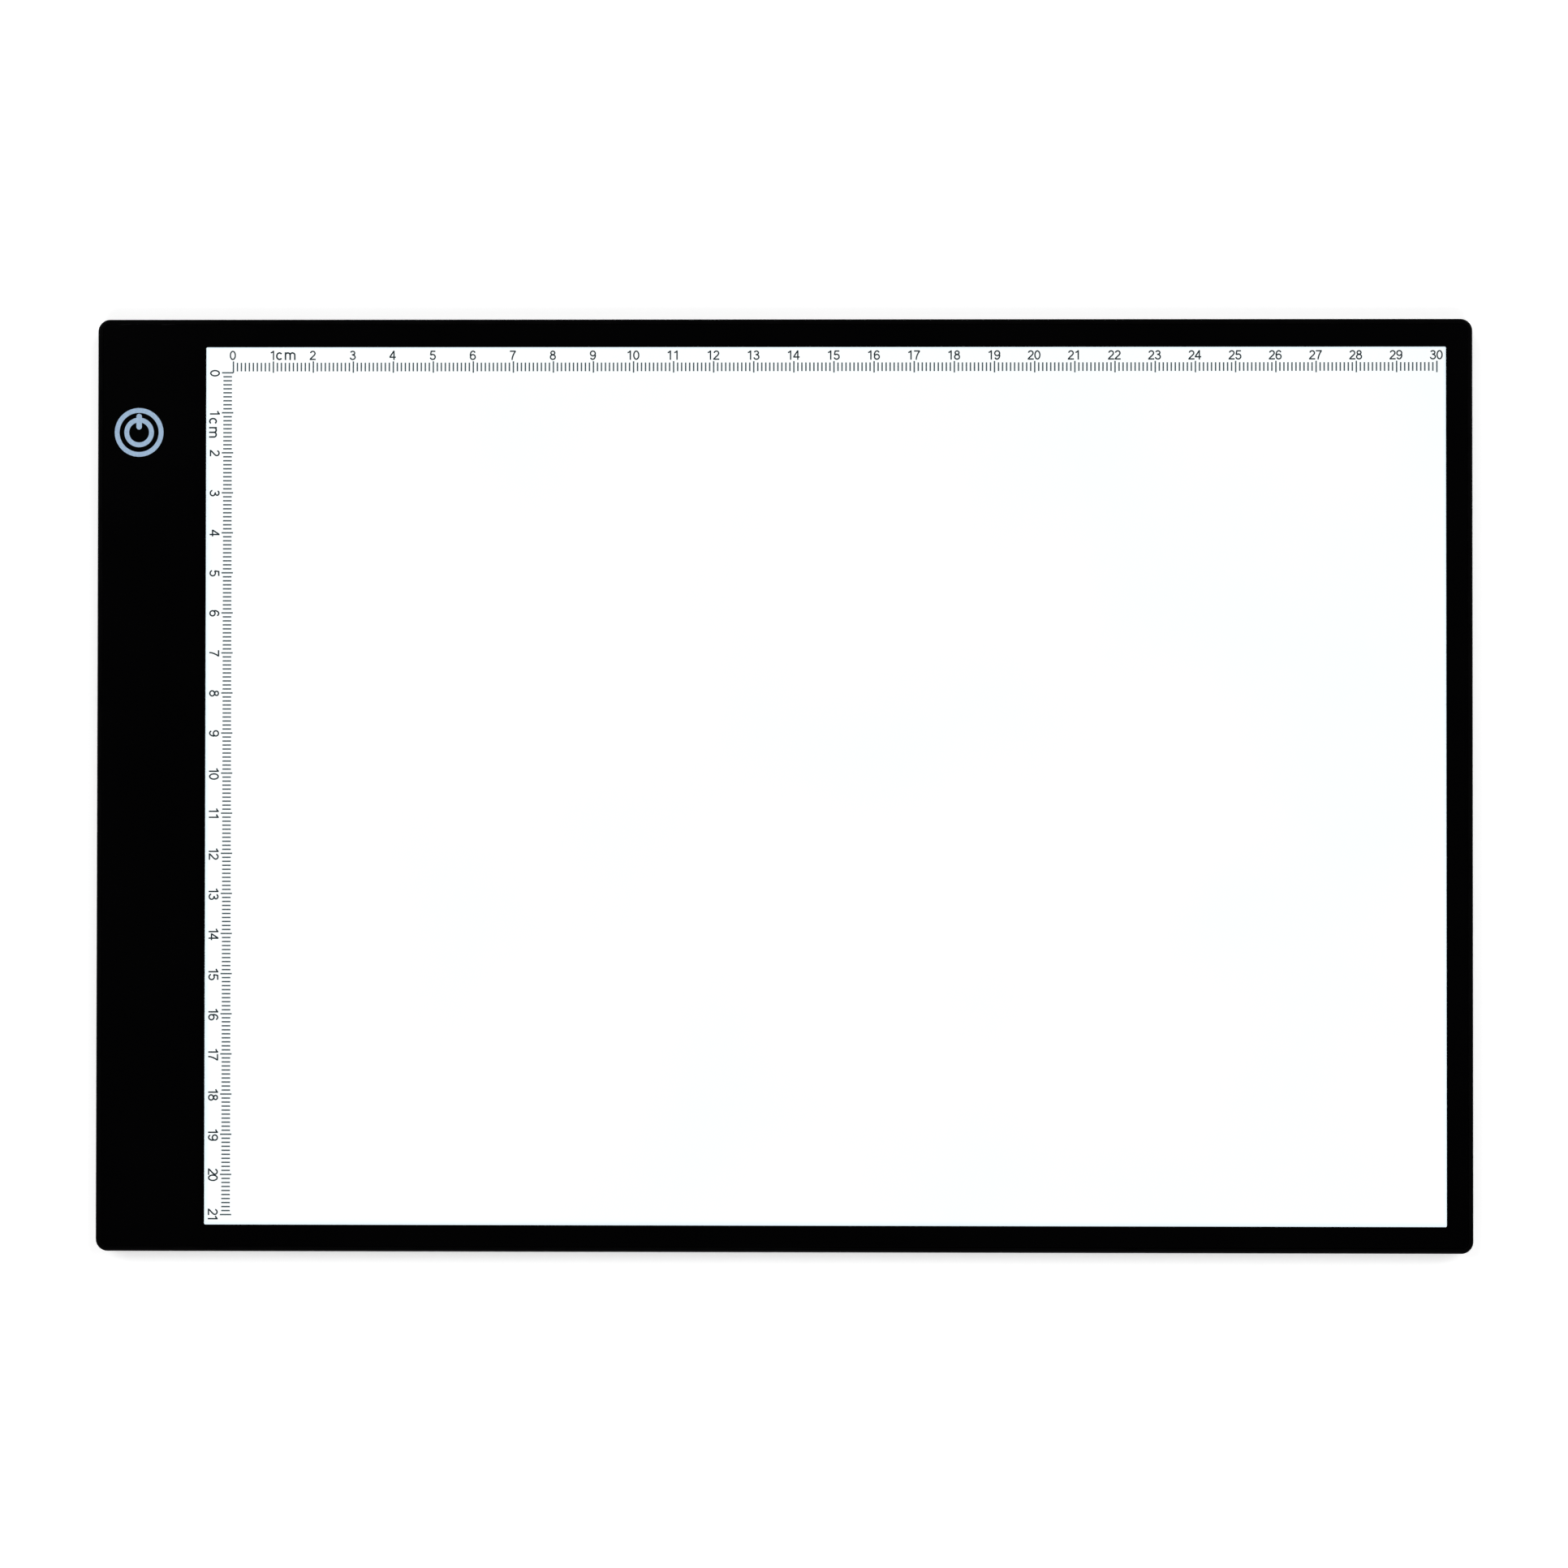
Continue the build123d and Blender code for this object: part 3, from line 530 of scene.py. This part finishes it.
def board_print(look):
    """White lines beside the capacitors and round the chips and spring, and the wires' signs."""
    mesh = bmesh.new()
    for low, high in islands("chip_capacitors"):
        axis = long_axis(low, high)
        for side in (low[1 - axis] - LEGEND_GAP, high[1 - axis] + LEGEND_GAP):
            ends = [low.to_2d(), high.to_2d()]
            for end in ends:
                end[1 - axis] = side
            legend_line(mesh, *ends)
    half = LEGEND_LINE / 2
    for low, high in (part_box("touch_chip"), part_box("driver_transistor")):
        x0, x1 = low.x - LEGEND_GAP, high.x + LEGEND_GAP
        y0, y1 = low.y - LEGEND_GAP, high.y + LEGEND_GAP
        for y in (y0, y1):
            legend_line(mesh, (x0 - half, y), (x1 + half, y))
        for x in (x0, x1):
            legend_line(mesh, (x, y0 + half), (x, y1 - half))
    spring = (SPRING_LOW + SPRING_HIGH) / 2
    for start in range(0, 360, 90):
        first, last = start + SPRING_LEGEND_BREAK, start + 90 - SPRING_LEGEND_BREAK
        legend_line(mesh, *arc(spring, SPRING_LEGEND_R, SPRING_LEGEND_R, first, last, 24))
    for x, y in (PLUS_SIGN, MINUS_SIGN):
        legend_line(mesh, on_board((x - SIGN_REACH, y)), on_board((x + SIGN_REACH, y)))
    x, y = PLUS_SIGN
    for first, last in ((-SIGN_REACH, -SIGN_GAP), (SIGN_GAP, SIGN_REACH)):
        legend_line(mesh, on_board((x, y + first)), on_board((x, y + last)))
    riding(finished("board_print", mesh), look)


# ---------------------------------------------------------------- materials
# Noise seldom leaves this range.
NOISE_LOW, NOISE_HIGH = 0.3, 0.7


class Look:
    """A Principled material whose patterns follow the part's own coordinates, in metres."""

    def __init__(self, name, **sockets):
        self.material = bpy.data.materials.new(name)
        self.material.use_nodes = True
        self.tree = self.material.node_tree
        self.shader = self.tree.nodes["Principled BSDF"]
        self.place = self.tree.nodes.new("ShaderNodeTexCoord").outputs["Object"]
        self.split = None
        for socket, value in sockets.items():
            self.shader.inputs[socket.replace("_", " ")].default_value = value

    def node(self, kind, inputs, **settings):
        """Adds a node, sets what it has, and joins or sets its inputs."""
        made = self.tree.nodes.new(kind)
        for setting, value in settings.items():
            setattr(made, setting, value)
        for key, value in inputs.items():
            if isinstance(value, bpy.types.NodeSocket):
                self.tree.links.new(value, made.inputs[key])
            else:
                made.inputs[key].default_value = value
        return made

    def noise(self, size, detail=2.0, stretch=(1, 1, 1)):
        """Noise whose features are about that many metres across."""
        places = {0: self.place, 1: stretch}
        scaled = self.node("ShaderNodeVectorMath", places, operation="MULTIPLY").outputs[0]
        inputs = {"Vector": scaled, "Scale": 1 / size, "Detail": detail}
        return self.node("ShaderNodeTexNoise", inputs).outputs["Fac"]

    def cells(self, size):
        """Distances in a pattern of cells about that many metres across."""
        inputs = {"Vector": self.place, "Scale": 1 / size}
        return self.node("ShaderNodeTexVoronoi", inputs).outputs["Distance"]

    def axis(self, name):
        """One coordinate of the surface, in metres."""
        if self.split is None:
            self.split = self.node("ShaderNodeSeparateXYZ", {0: self.place})
        return self.split.outputs[name]

    def facing(self, name):
        """One coordinate of the surface's normal."""
        normal = self.node("ShaderNodeNewGeometry", {}).outputs["Normal"]
        return self.node("ShaderNodeSeparateXYZ", {0: normal}).outputs[name]

    def maths(self, operation, a, b=0.0):
        """One operation on one or two values."""
        return self.node("ShaderNodeMath", {0: a, 1: b}, operation=operation).outputs[0]

    def span(self, value, low, high, first=0.0, last=1.0, smooth=False):
        """Maps low..high to first..last, and holds it there."""
        kind = "SMOOTHSTEP" if smooth else "LINEAR"
        inputs = {"Value": value, "From Min": low, "From Max": high}
        inputs.update({"To Min": first, "To Max": last})
        return self.node("ShaderNodeMapRange", inputs, interpolation_type=kind).outputs[0]

    def within(self, lows, highs):
        """One inside a box of the part's coordinates, else nothing. None leaves a side open."""
        inside = None
        for name, low, high in zip("XYZ", lows, highs):
            for operation, limit in (("GREATER_THAN", low), ("LESS_THAN", high)):
                if limit is not None:
                    test = self.maths(operation, self.axis(name), limit)
                    inside = test if inside is None else self.maths("MULTIPLY", inside, test)
        return inside

    def mixed(self, share, first, second):
        """A colour between two, by share."""
        made = self.node("ShaderNodeMix", {0: share, 6: first, 7: second}, data_type="RGBA")
        return made.outputs[2]

    def feed(self, socket, value):
        """Joins a pattern to one of the shader's sockets."""
        self.tree.links.new(value, self.shader.inputs[socket])

    def uneven(self, noise, least, most, smooth=False):
        """Roughness that follows a noise from the least to the most."""
        self.feed("Roughness", self.span(noise, NOISE_LOW, NOISE_HIGH, least, most, smooth))

    def bump(self, height, depth):
        """Raises the surface by up to depth metres, on top of any bump it has."""
        below = self.shader.inputs["Normal"]
        inputs = {"Height": height, "Distance": depth, "Strength": 1.0}
        if below.is_linked:
            inputs["Normal"] = below.links[0].from_socket
        self.feed("Normal", self.node("ShaderNodeBump", inputs).outputs[0])


def rgb(red, green, blue):
    """A colour with an alpha of one."""
    return (red, green, blue, 1.0)


def shade(tone, share):
    """A tone made darker or lighter by that share, up to white."""
    return rgb(*[min(1.0, part * share) for part in tone])


def moulded_plastic(name, tone, grain, depth, rough, sheen_and_worn_edges=False):
    """Black ABS from a textured mould: fine grain, soft mottling, and edges rubbed by hands, with
    a painted sheen on them.
    """
    look = Look(name, Specular_IOR_Level=0.05)
    mottle = look.noise(18 * MM, 3.0)
    colour = look.mixed(mottle, shade(tone, 0.7), shade(tone, 1.5))
    patches = look.noise(6 * MM, 4.0)
    roughness = look.span(patches, NOISE_LOW, NOISE_HIGH, rough - 0.05, rough + 0.06)
    if sheen_and_worn_edges:
        # Fillets that face upwards are painted lighter, as painted sheen where they catch the
        # light, and made smoother, as rubbed wear.
        turning = look.facing("Z")
        edge = look.maths("MULTIPLY", look.span(turning, 0.15, 0.5), look.span(turning, 0.97, 0.8))
        rubbed_and_sheen = look.maths("MULTIPLY", edge, look.span(look.noise(9 * MM, 5.0), 0.42, 0.68))
        worn_and_sheen_tone = [part * 3.2 + 0.002 for part in tone]
        colour = look.mixed(rubbed_and_sheen, colour, rgb(*worn_and_sheen_tone))
        roughness = look.maths("SUBTRACT", roughness, look.maths("MULTIPLY", rubbed_and_sheen, 0.14))
    look.feed("Base Color", colour)
    look.feed("Roughness", roughness)
    look.bump(look.noise(grain, 3.0), depth)
    look.bump(look.cells(grain * 2.6), depth * 0.6)
    return look.material


def printed_film(name, tone, rough):
    """Smooth screen-printed film: a faint orange peel and soft smears from handling."""
    look = Look(name, Specular_IOR_Level=0.08)
    smears = look.noise(38 * MM, 3.0)
    look.feed("Base Color", look.mixed(smears, shade(tone, 0.8), shade(tone, 1.25)))
    look.uneven(smears, rough - 0.015, rough + 0.02, smooth=True)
    look.bump(look.noise(0.9 * MM, 2.0), 0.0012 * MM)
    return look.material


def key_print():
    """The pale blue-grey ink of the touch key's mark, a little lit from behind."""
    look = Look("key_print", Roughness=0.34, Specular_IOR_Level=0.3, Emission_Strength=0.18)
    speckle = look.noise(0.5 * MM, 4.0)
    ink = look.mixed(look.span(speckle, 0.35, 0.7), rgb(0.30, 0.42, 0.58), rgb(0.36, 0.50, 0.66))
    look.feed("Base Color", ink)
    look.feed("Emission Color", ink)
    look.bump(speckle, 0.004 * MM)
    return look.material


def lit_opal():
    """Satin opal acrylic: lit on its upper face, a touch cooler along the window's border."""
    look = Look("opal_acrylic", Specular_IOR_Level=0.4)
    x, y = look.axis("X"), look.axis("Y")
    shadow, quick_fade, slow_fade = 0.1 * MM, 0.7 * MM, 1.4 * MM
    skin = 0.05 * MM
    edges = (
        (look.maths("SUBTRACT", x, WINDOW_LOW.x), slow_fade),
        (look.maths("SUBTRACT", WINDOW_HIGH.x, x), quick_fade),
        (look.maths("SUBTRACT", y, WINDOW_LOW.y), slow_fade),
        (look.maths("SUBTRACT", WINDOW_HIGH.y, y), quick_fade),
    )
    open_window = None
    for inwards, fade in edges:
        clear = look.span(inwards, shadow, fade, smooth=True)
        open_window = clear if open_window is None else look.maths("MINIMUM", open_window, clear)
    cloud = look.noise(60 * MM, 1.0)
    along_strip = look.span(x, WINDOW_LOW.x, WINDOW_HIGH.x, 1.0, 0.94)
    glow = look.mixed(open_window, rgb(0.66, 0.84, 0.95), rgb(0.99, 1.0, 1.0))
    top_face = look.maths("GREATER_THAN", look.axis("Z"), SURFACE - skin)
    level = look.maths("MULTIPLY", along_strip, look.span(cloud, 0.2, 0.8, 0.44, 0.48))
    look.feed("Emission Color", glow)
    look.feed("Emission Strength", look.maths("MULTIPLY", top_face, level))
    look.feed("Base Color", look.mixed(cloud, rgb(0.66, 0.70, 0.71), rgb(0.70, 0.74, 0.75)))
    look.uneven(look.noise(5 * MM, 3.0), 0.36, 0.44)
    look.bump(look.noise(0.22 * MM, 2.0), 0.004 * MM)
    return look.material


def ruler_ink(name, tone):
    """Dark slate ink with slightly uneven cover."""
    look = Look(name, Roughness=0.42, Specular_IOR_Level=0.25)
    cover = look.noise(0.7 * MM, 3.0)
    look.feed("Base Color", look.mixed(cover, shade(tone, 0.65), shade(tone, 1.35)))
    return look.material


def rubber():
    """Dark silicone: matte, finely pitted, with pale dust."""
    look = Look("foot_rubber", Specular_IOR_Level=0.3)
    dust = look.span(look.noise(1.4 * MM, 5.0), 0.52, 0.74)
    look.feed("Base Color", look.mixed(dust, rgb(0.030, 0.030, 0.031), rgb(0.070, 0.070, 0.067)))
    look.feed("Roughness", look.span(dust, 0.0, 1.0, 0.62, 0.85))
    look.bump(look.noise(0.18 * MM, 3.0), 0.012 * MM)
    return look.material


def soft_tape(name, tone):
    """Foam or cloth-backed tape with an open, uneven surface, painted darker in its pores as
    shade.
    """
    look = Look(name, Specular_IOR_Level=0.2)
    pores = look.cells(0.35 * MM)
    # Darker down in the pores and lighter on the rims between them: painted shade in the pits.
    raised_unshaded = look.span(pores, 0.1, 0.6)
    look.feed("Base Color", look.mixed(raised_unshaded, shade(tone, 0.6), shade(tone, 1.4)))
    look.uneven(look.noise(2 * MM), 0.75, 0.92)
    look.bump(pores, 0.03 * MM)
    return look.material


def white_film(name, tone, rough):
    """Plain white or milky film with a slight sheen and faint cloudiness."""
    look = Look(name)
    cloud = look.noise(22 * MM, 4.0)
    look.feed("Base Color", look.mixed(cloud, shade(tone, 0.96), rgb(*tone)))
    look.uneven(cloud, rough - 0.04, rough + 0.05)
    look.bump(look.noise(0.4 * MM, 2.0), 0.004 * MM)
    return look.material


def guide_acrylic():
    """Pale clear acrylic, with the grid of white dots that lets the light out."""
    look = Look("guide_acrylic", Roughness=0.06, IOR=1.49, Coat_Weight=0.4, Coat_Roughness=0.03)
    pitch, smallest, largest = 1.5 * MM, 0.22 * MM, 0.48 * MM
    wraps = [look.maths("PINGPONG", look.axis(name), pitch / 2) for name in "XY"]
    squares = [look.maths("MULTIPLY", wrap, wrap) for wrap in wraps]
    distance = look.maths("SQRT", look.maths("ADD", *squares))
    reach = look.span(look.axis("X"), WINDOW_LOW.x, WINDOW_HIGH.x, smallest, largest)
    dot = look.maths("LESS_THAN", distance, reach)
    tint = look.mixed(look.noise(40 * MM), rgb(0.70, 0.80, 0.79), rgb(0.76, 0.85, 0.84))
    look.feed("Base Color", look.mixed(dot, tint, rgb(0.95, 0.96, 0.96)))
    return look.material


def strip_laminate():
    """White solder mask on the lamp strip, over two low tracks that run along it."""
    look = Look("strip_laminate", Specular_IOR_Level=0.5)
    low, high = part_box("led_strip_board")
    height = look.maths("ABSOLUTE", look.maths("SUBTRACT", look.axis("Z"), (low.z + high.z) / 2))
    inner, outer, side = 0.72 * MM, 1.1 * MM, 0.04 * MM
    above = look.span(height, inner, inner + side)
    below = look.span(height, outer, outer - side)
    track = look.maths("MULTIPLY", above, below)
    grain = look.noise(0.6 * MM, 3.0)
    plain = look.mixed(grain, rgb(0.80, 0.80, 0.77), rgb(0.87, 0.87, 0.85))
    look.feed("Base Color", look.mixed(track, plain, rgb(0.70, 0.70, 0.65)))
    look.uneven(grain, 0.28, 0.38)
    look.bump(track, 0.03 * MM)
    return look.material


def board_laminate():
    """Green solder mask over woven glass, with bare fibre at the edges."""
    look = Look("board_laminate", Specular_IOR_Level=0.55, Coat_Weight=0.35, Coat_Roughness=0.12)
    pitch = 0.5 * MM
    across = look.maths("PINGPONG", look.axis("X"), pitch / 2)
    along = look.maths("PINGPONG", look.axis("Y"), pitch / 2)
    weave = look.maths("MULTIPLY", look.maths("ADD", across, along), 1 / pitch)
    green = look.mixed(look.noise(6 * MM, 3.0), rgb(0.003, 0.070, 0.026), rgb(0.006, 0.100, 0.036))
    woven = look.mixed(look.maths("MULTIPLY", weave, 0.18), green, rgb(0.016, 0.160, 0.062))
    flat = look.span(look.maths("ABSOLUTE", look.facing("Z")), 0.5, 0.9)
    look.feed("Base Color", look.mixed(flat, rgb(0.42, 0.40, 0.20), woven))
    look.feed("Roughness", look.span(weave, 0.0, 1.0, 0.24, 0.34))
    look.bump(weave, 0.003 * MM)
    return look.material


def masked_copper():
    """Green solder mask where it lies over copper: lighter and a little uneven."""
    look = Look("masked_copper", Specular_IOR_Level=0.55, Coat_Weight=0.35, Coat_Roughness=0.12)
    cover = look.noise(1.1 * MM, 3.0)
    look.feed("Base Color", look.mixed(cover, rgb(0.012, 0.165, 0.050), rgb(0.024, 0.225, 0.080)))
    look.uneven(cover, 0.22, 0.32)
    look.bump(cover, 0.003 * MM)
    return look.material


def board_ink():
    """White legend ink, thin enough to let a little green through."""
    look = Look("board_ink", Roughness=0.6, Specular_IOR_Level=0.3)
    cover = look.noise(0.25 * MM, 3.0)
    look.feed("Base Color", look.mixed(cover, rgb(0.52, 0.62, 0.54), rgb(0.80, 0.82, 0.79)))
    return look.material


def metal(name, tone, rough, grain, stretch=(1, 1, 1)):
    """Plated metal with fine draw marks and slight tarnish."""
    look = Look(name, Metallic=1.0)
    tarnish = look.noise(1.3 * MM, 4.0)
    look.feed("Base Color", look.mixed(tarnish, shade(tone, 0.72), rgb(*tone)))
    lines = look.noise(grain, 3.0, stretch)
    look.uneven(lines, rough - 0.03, rough + 0.04)
    look.bump(lines, 0.0012 * MM)
    return look.material


def small_plastic(name, tone, rough, grain=0.12 * MM):
    """A small moulded or dipped part: near even colour and a fine grain."""
    look = Look(name, Specular_IOR_Level=0.45)
    speckle = look.noise(grain * 4, 3.0)
    look.feed("Base Color", look.mixed(speckle, shade(tone, 0.82), shade(tone, 1.12)))
    look.uneven(speckle, rough - 0.05, rough + 0.07)
    look.bump(look.noise(grain, 2.0), 0.003 * MM)
    return look.material


TIN, TIN_ROUGH, BODY_ROUGH = (0.66, 0.66, 0.64), 0.26, 0.4


def two_toned(name, tone, tinned):
    """A small chip part of one moulded colour, with bright tin inside the tinned boxes."""
    look = Look(name)
    tin = None
    for low, high in tinned:
        patch = look.within(low, high)
        tin = patch if tin is None else look.maths("MAXIMUM", tin, patch)
    speckle = look.noise(0.3 * MM, 3.0)
    body = look.mixed(speckle, shade(tone, 0.8), shade(tone, 1.2))
    look.feed("Base Color", look.mixed(tin, body, rgb(*TIN)))
    look.feed("Metallic", tin)
    look.feed("Roughness", look.span(tin, 0.0, 1.0, BODY_ROUGH, TIN_ROUGH))
    look.bump(speckle, 0.004 * MM)
    return look.material


def dress(look, *nodes):
    """Puts a material on CAD nodes."""
    for node in nodes:
        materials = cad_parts[node].data.materials
        materials.clear()
        materials.append(look)


def node_ends(node, axis, share):
    """Boxes over both ends of a node along one axis, each covering that share of its length."""
    low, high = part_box(node)
    length = (high[axis] - low[axis]) * share
    first, second = [None] * 3, [None] * 3
    first[axis], second[axis] = low[axis] + length, high[axis] - length
    return [([None] * 3, first), (second, [None] * 3)]


def solid_ends(node, share):
    """The same over both ends of every separate solid in a node, along its longer side."""
    margin = 0.05 * MM
    boxes = []
    for low, high in islands(node):
        axis = long_axis(low, high)
        reach = (high[axis] - low[axis]) * share
        below = [low.x - margin, low.y - margin, None]
        above = [high.x + margin, high.y + margin, None]
        first, second = above.copy(), below.copy()
        first[axis], second[axis] = low[axis] + reach, high[axis] - reach
        boxes += [(below, first), (second, above)]
    return boxes


def dress_casing():
    """Materials for the frame, the cover, the feet and everything in the sheet stack."""
    black, charcoal = (0.0006, 0.0006, 0.0007), (0.010, 0.010, 0.0105)
    # The frame's upward edges get a painted sheen along with their rubbed wear.
    wall = moulded_plastic("frame_plastic", black, 0.16 * MM, 0.005 * MM, 0.32, sheen_and_worn_edges=True)
    cover = moulded_plastic("cover_plastic", charcoal, 0.34 * MM, 0.022 * MM, 0.50)
    dress(wall, "middle_frame")
    dress(cover, "rear_cover")
    dress(printed_film("overlay_film", (0.0003, 0.0003, 0.0004), 0.24), "border_overlay")
    dress(key_print(), "touch_key_symbol")
    dress(lit_opal(), "front_panel")
    dress(rubber(), "foot_front_left", "foot_front_right", "foot_rear_left", "foot_rear_right")
    dress(soft_tape("tape", (0.03, 0.03, 0.03)), "front_tape", "rear_tape", "led_strip_tape")
    dress(soft_tape("foam", (0.06, 0.06, 0.062)), "guide_cushions")
    dress(small_plastic("shield_tape", (0.02, 0.02, 0.021), 0.55, 0.3 * MM), "led_shield_tape")
    dress(white_film("diffuser", (0.90, 0.92, 0.93), 0.55), "diffuser_film")
    dress(white_film("reflector", (0.93, 0.93, 0.93), 0.22), "reflector_film")
    dress(guide_acrylic(), "light_guide_plate")


def dress_electrics():
    """Materials for the lamp strip, the control board, its parts and the wires."""
    dress(strip_laminate(), "led_strip_board")
    dress(small_plastic("lamp_body", (0.86, 0.86, 0.82), 0.42), "led_packages")
    dress(small_plastic("phosphor", (0.86, 0.70, 0.16), 0.25), "led_lenses")
    dress(board_laminate(), "control_board")
    dress(metal("solder", (0.74, 0.75, 0.76), 0.30, 0.5 * MM), "solder_joints")
    dress(metal("screw_steel", (0.62, 0.62, 0.64), 0.30, 0.3 * MM), "board_screws")
    dress(metal("spring_steel", (0.74, 0.70, 0.62), 0.26, 0.2 * MM), "touch_spring")
    drawn, gilt = (0.60, 0.60, 0.59), (0.92, 0.66, 0.26)
    dress(metal("socket_steel", drawn, 0.32, 0.12 * MM, (1, 0.2, 1)), "usb_socket_shell")
    dress(metal("contact_metal", gilt, 0.18, 0.2 * MM, (1, 0.1, 1)), "usb_socket_contacts")
    dress(small_plastic("socket_plastic", (0.012, 0.012, 0.013), 0.45), "usb_socket_tongue")
    dress(small_plastic("red_insulation", (0.50, 0.012, 0.012), 0.36), "red_wire")
    dress(small_plastic("black_insulation", (0.012, 0.012, 0.012), 0.36), "black_wire")
    epoxy, resistor, ceramic = (0.018, 0.018, 0.019), (0.02, 0.02, 0.024), (0.42, 0.29, 0.17)
    chip_leads, transistor_leads, end_caps = 0.21, 0.23, 0.18
    chip_tin = node_ends("touch_chip", 1, chip_leads)
    transistor_tin = node_ends("driver_transistor", 1, transistor_leads)
    resistor_tin = solid_ends("chip_resistors", end_caps)
    capacitor_tin = solid_ends("chip_capacitors", end_caps)
    dress(two_toned("chip_epoxy", epoxy, chip_tin), "touch_chip")
    dress(two_toned("transistor_epoxy", epoxy, transistor_tin), "driver_transistor")
    dress(two_toned("resistor_body", resistor, resistor_tin), "chip_resistors")
    dress(two_toned("capacitor_body", ceramic, capacitor_tin), "chip_capacitors")


# ---------------------------------------------------------------- studio
SUN_STRENGTH, SUN_SPREAD = 1.1, 34
# How bright the surroundings are: a place from the horizon (0) to straight up (1), and a level.
SKY = ((0.0, 1.05), (0.16, 1.05), (0.22, 0.12), (0.75, 0.06), (0.93, 0.02), (1.0, 0.02))
FLOOR_HALF, FLOOR_GREY, FLOOR_GLOW = 12.0, 0.82, 0.50

# The camera, from the fit of the rulers to the photograph. Its tilts are in degrees.
LENS, SENSOR = 85, 36
CAMERA_X, CAMERA_Y, CAMERA_UP = 11.16 * MM, -10.27 * MM, 921.83 * MM
CAMERA_TILTS = (0.657, 0.684, 0.053)
NEAR, FAR = 0.01, 100


def soft_sun(name, azimuth, elevation):
    """A broad even light from a side and a height in degrees, as from a soft box far off."""
    data = bpy.data.lights.new(name, "SUN")
    data.energy = SUN_STRENGTH
    data.angle = math.radians(SUN_SPREAD)
    made = bpy.data.objects.new(name, data)
    a, e = math.radians(azimuth), math.radians(elevation)
    towards = Vector((math.sin(a) * math.cos(e), -math.cos(a) * math.cos(e), math.sin(e)))
    made.location = towards
    made.rotation_euler = towards.to_track_quat("Z", "Y").to_euler()
    bpy.context.scene.collection.objects.link(made)


def studio_world():
    """A white band along the horizon under a dark ceiling."""
    world = bpy.data.worlds.new("studio")
    world.use_nodes = True
    tree = world.node_tree
    background = tree.nodes["Background"]
    direction = tree.nodes.new("ShaderNodeTexCoord").outputs["Generated"]
    split = tree.nodes.new("ShaderNodeSeparateXYZ")
    ramp = tree.nodes.new("ShaderNodeValToRGB")
    tree.links.new(direction, split.inputs[0])
    tree.links.new(split.outputs["Z"], ramp.inputs[0])
    tree.links.new(ramp.outputs[0], background.inputs["Color"])
    elements = ramp.color_ramp.elements
    for position, _ in SKY[1:-1]:
        elements.new(position)
    for element, (position, level) in zip(elements, SKY):
        element.position = position
        element.color = rgb(level, level, level)
    bpy.context.scene.world = world


def studio_floor():
    """A wide pale floor that glows a little, so that it stays white round the casing."""
    mesh = bmesh.new()
    bmesh.ops.create_grid(mesh, x_segments=1, y_segments=1, size=FLOOR_HALF)
    floor = finished("studio_floor", mesh)
    grey, white = rgb(FLOOR_GREY, FLOOR_GREY, FLOOR_GREY), rgb(1.0, 1.0, 1.0)
    look = Look(
        "studio_floor",
        Base_Color=grey,
        Roughness=0.9,
        Specular_IOR_Level=0.0,
        Emission_Color=white,
        Emission_Strength=FLOOR_GLOW,
    )
    floor.data.materials.append(look.material)


def camera():
    """Nearly straight above the light box, as far off as a tabletop product picture."""
    data = bpy.data.cameras.new("camera")
    data.lens = LENS
    data.sensor_width = SENSOR
    data.clip_start, data.clip_end = NEAR, FAR
    made = bpy.data.objects.new("camera", data)
    made.location = Vector((CAMERA_X, CAMERA_Y, SURFACE + CAMERA_UP))
    made.rotation_euler = [math.radians(angle) for angle in CAMERA_TILTS]
    bpy.context.scene.collection.objects.link(made)
    bpy.context.scene.camera = made


# ---------------------------------------------------------------- all of it
dress_casing()
dress_electrics()
board_pads(metal("pad_tin", (0.72, 0.72, 0.69), 0.30, 0.4 * MM))
board_tracks(masked_copper())
board_print(board_ink())
# The ticks' ink is painted a lighter blue-grey than the numerals', as painted glow of the lit
# window blurred over the thin lines.
tick_ink_painted_glow = ruler_ink("tick_ink_painted_glow", (0.090, 0.125, 0.140))
full_ink = ruler_ink("full_ink", (0.010, 0.024, 0.031))
ruler_ticks("ruler_ticks_top", TOP_RULER, tick_ink_painted_glow)
ruler_ticks("ruler_ticks_side", SIDE_RULER, tick_ink_painted_glow)
ruler_numerals("ruler_numerals_top", TOP_RULER, full_ink)
ruler_numerals("ruler_numerals_side", SIDE_RULER, full_ink)

soft_sun("soft_box_back_left", 235, 44)
soft_sun("soft_box_back_right", 125, 44)
soft_sun("soft_box_front", 0, 46)
studio_world()
studio_floor()
camera()
bpy.context.scene.view_settings.view_transform = "Standard"
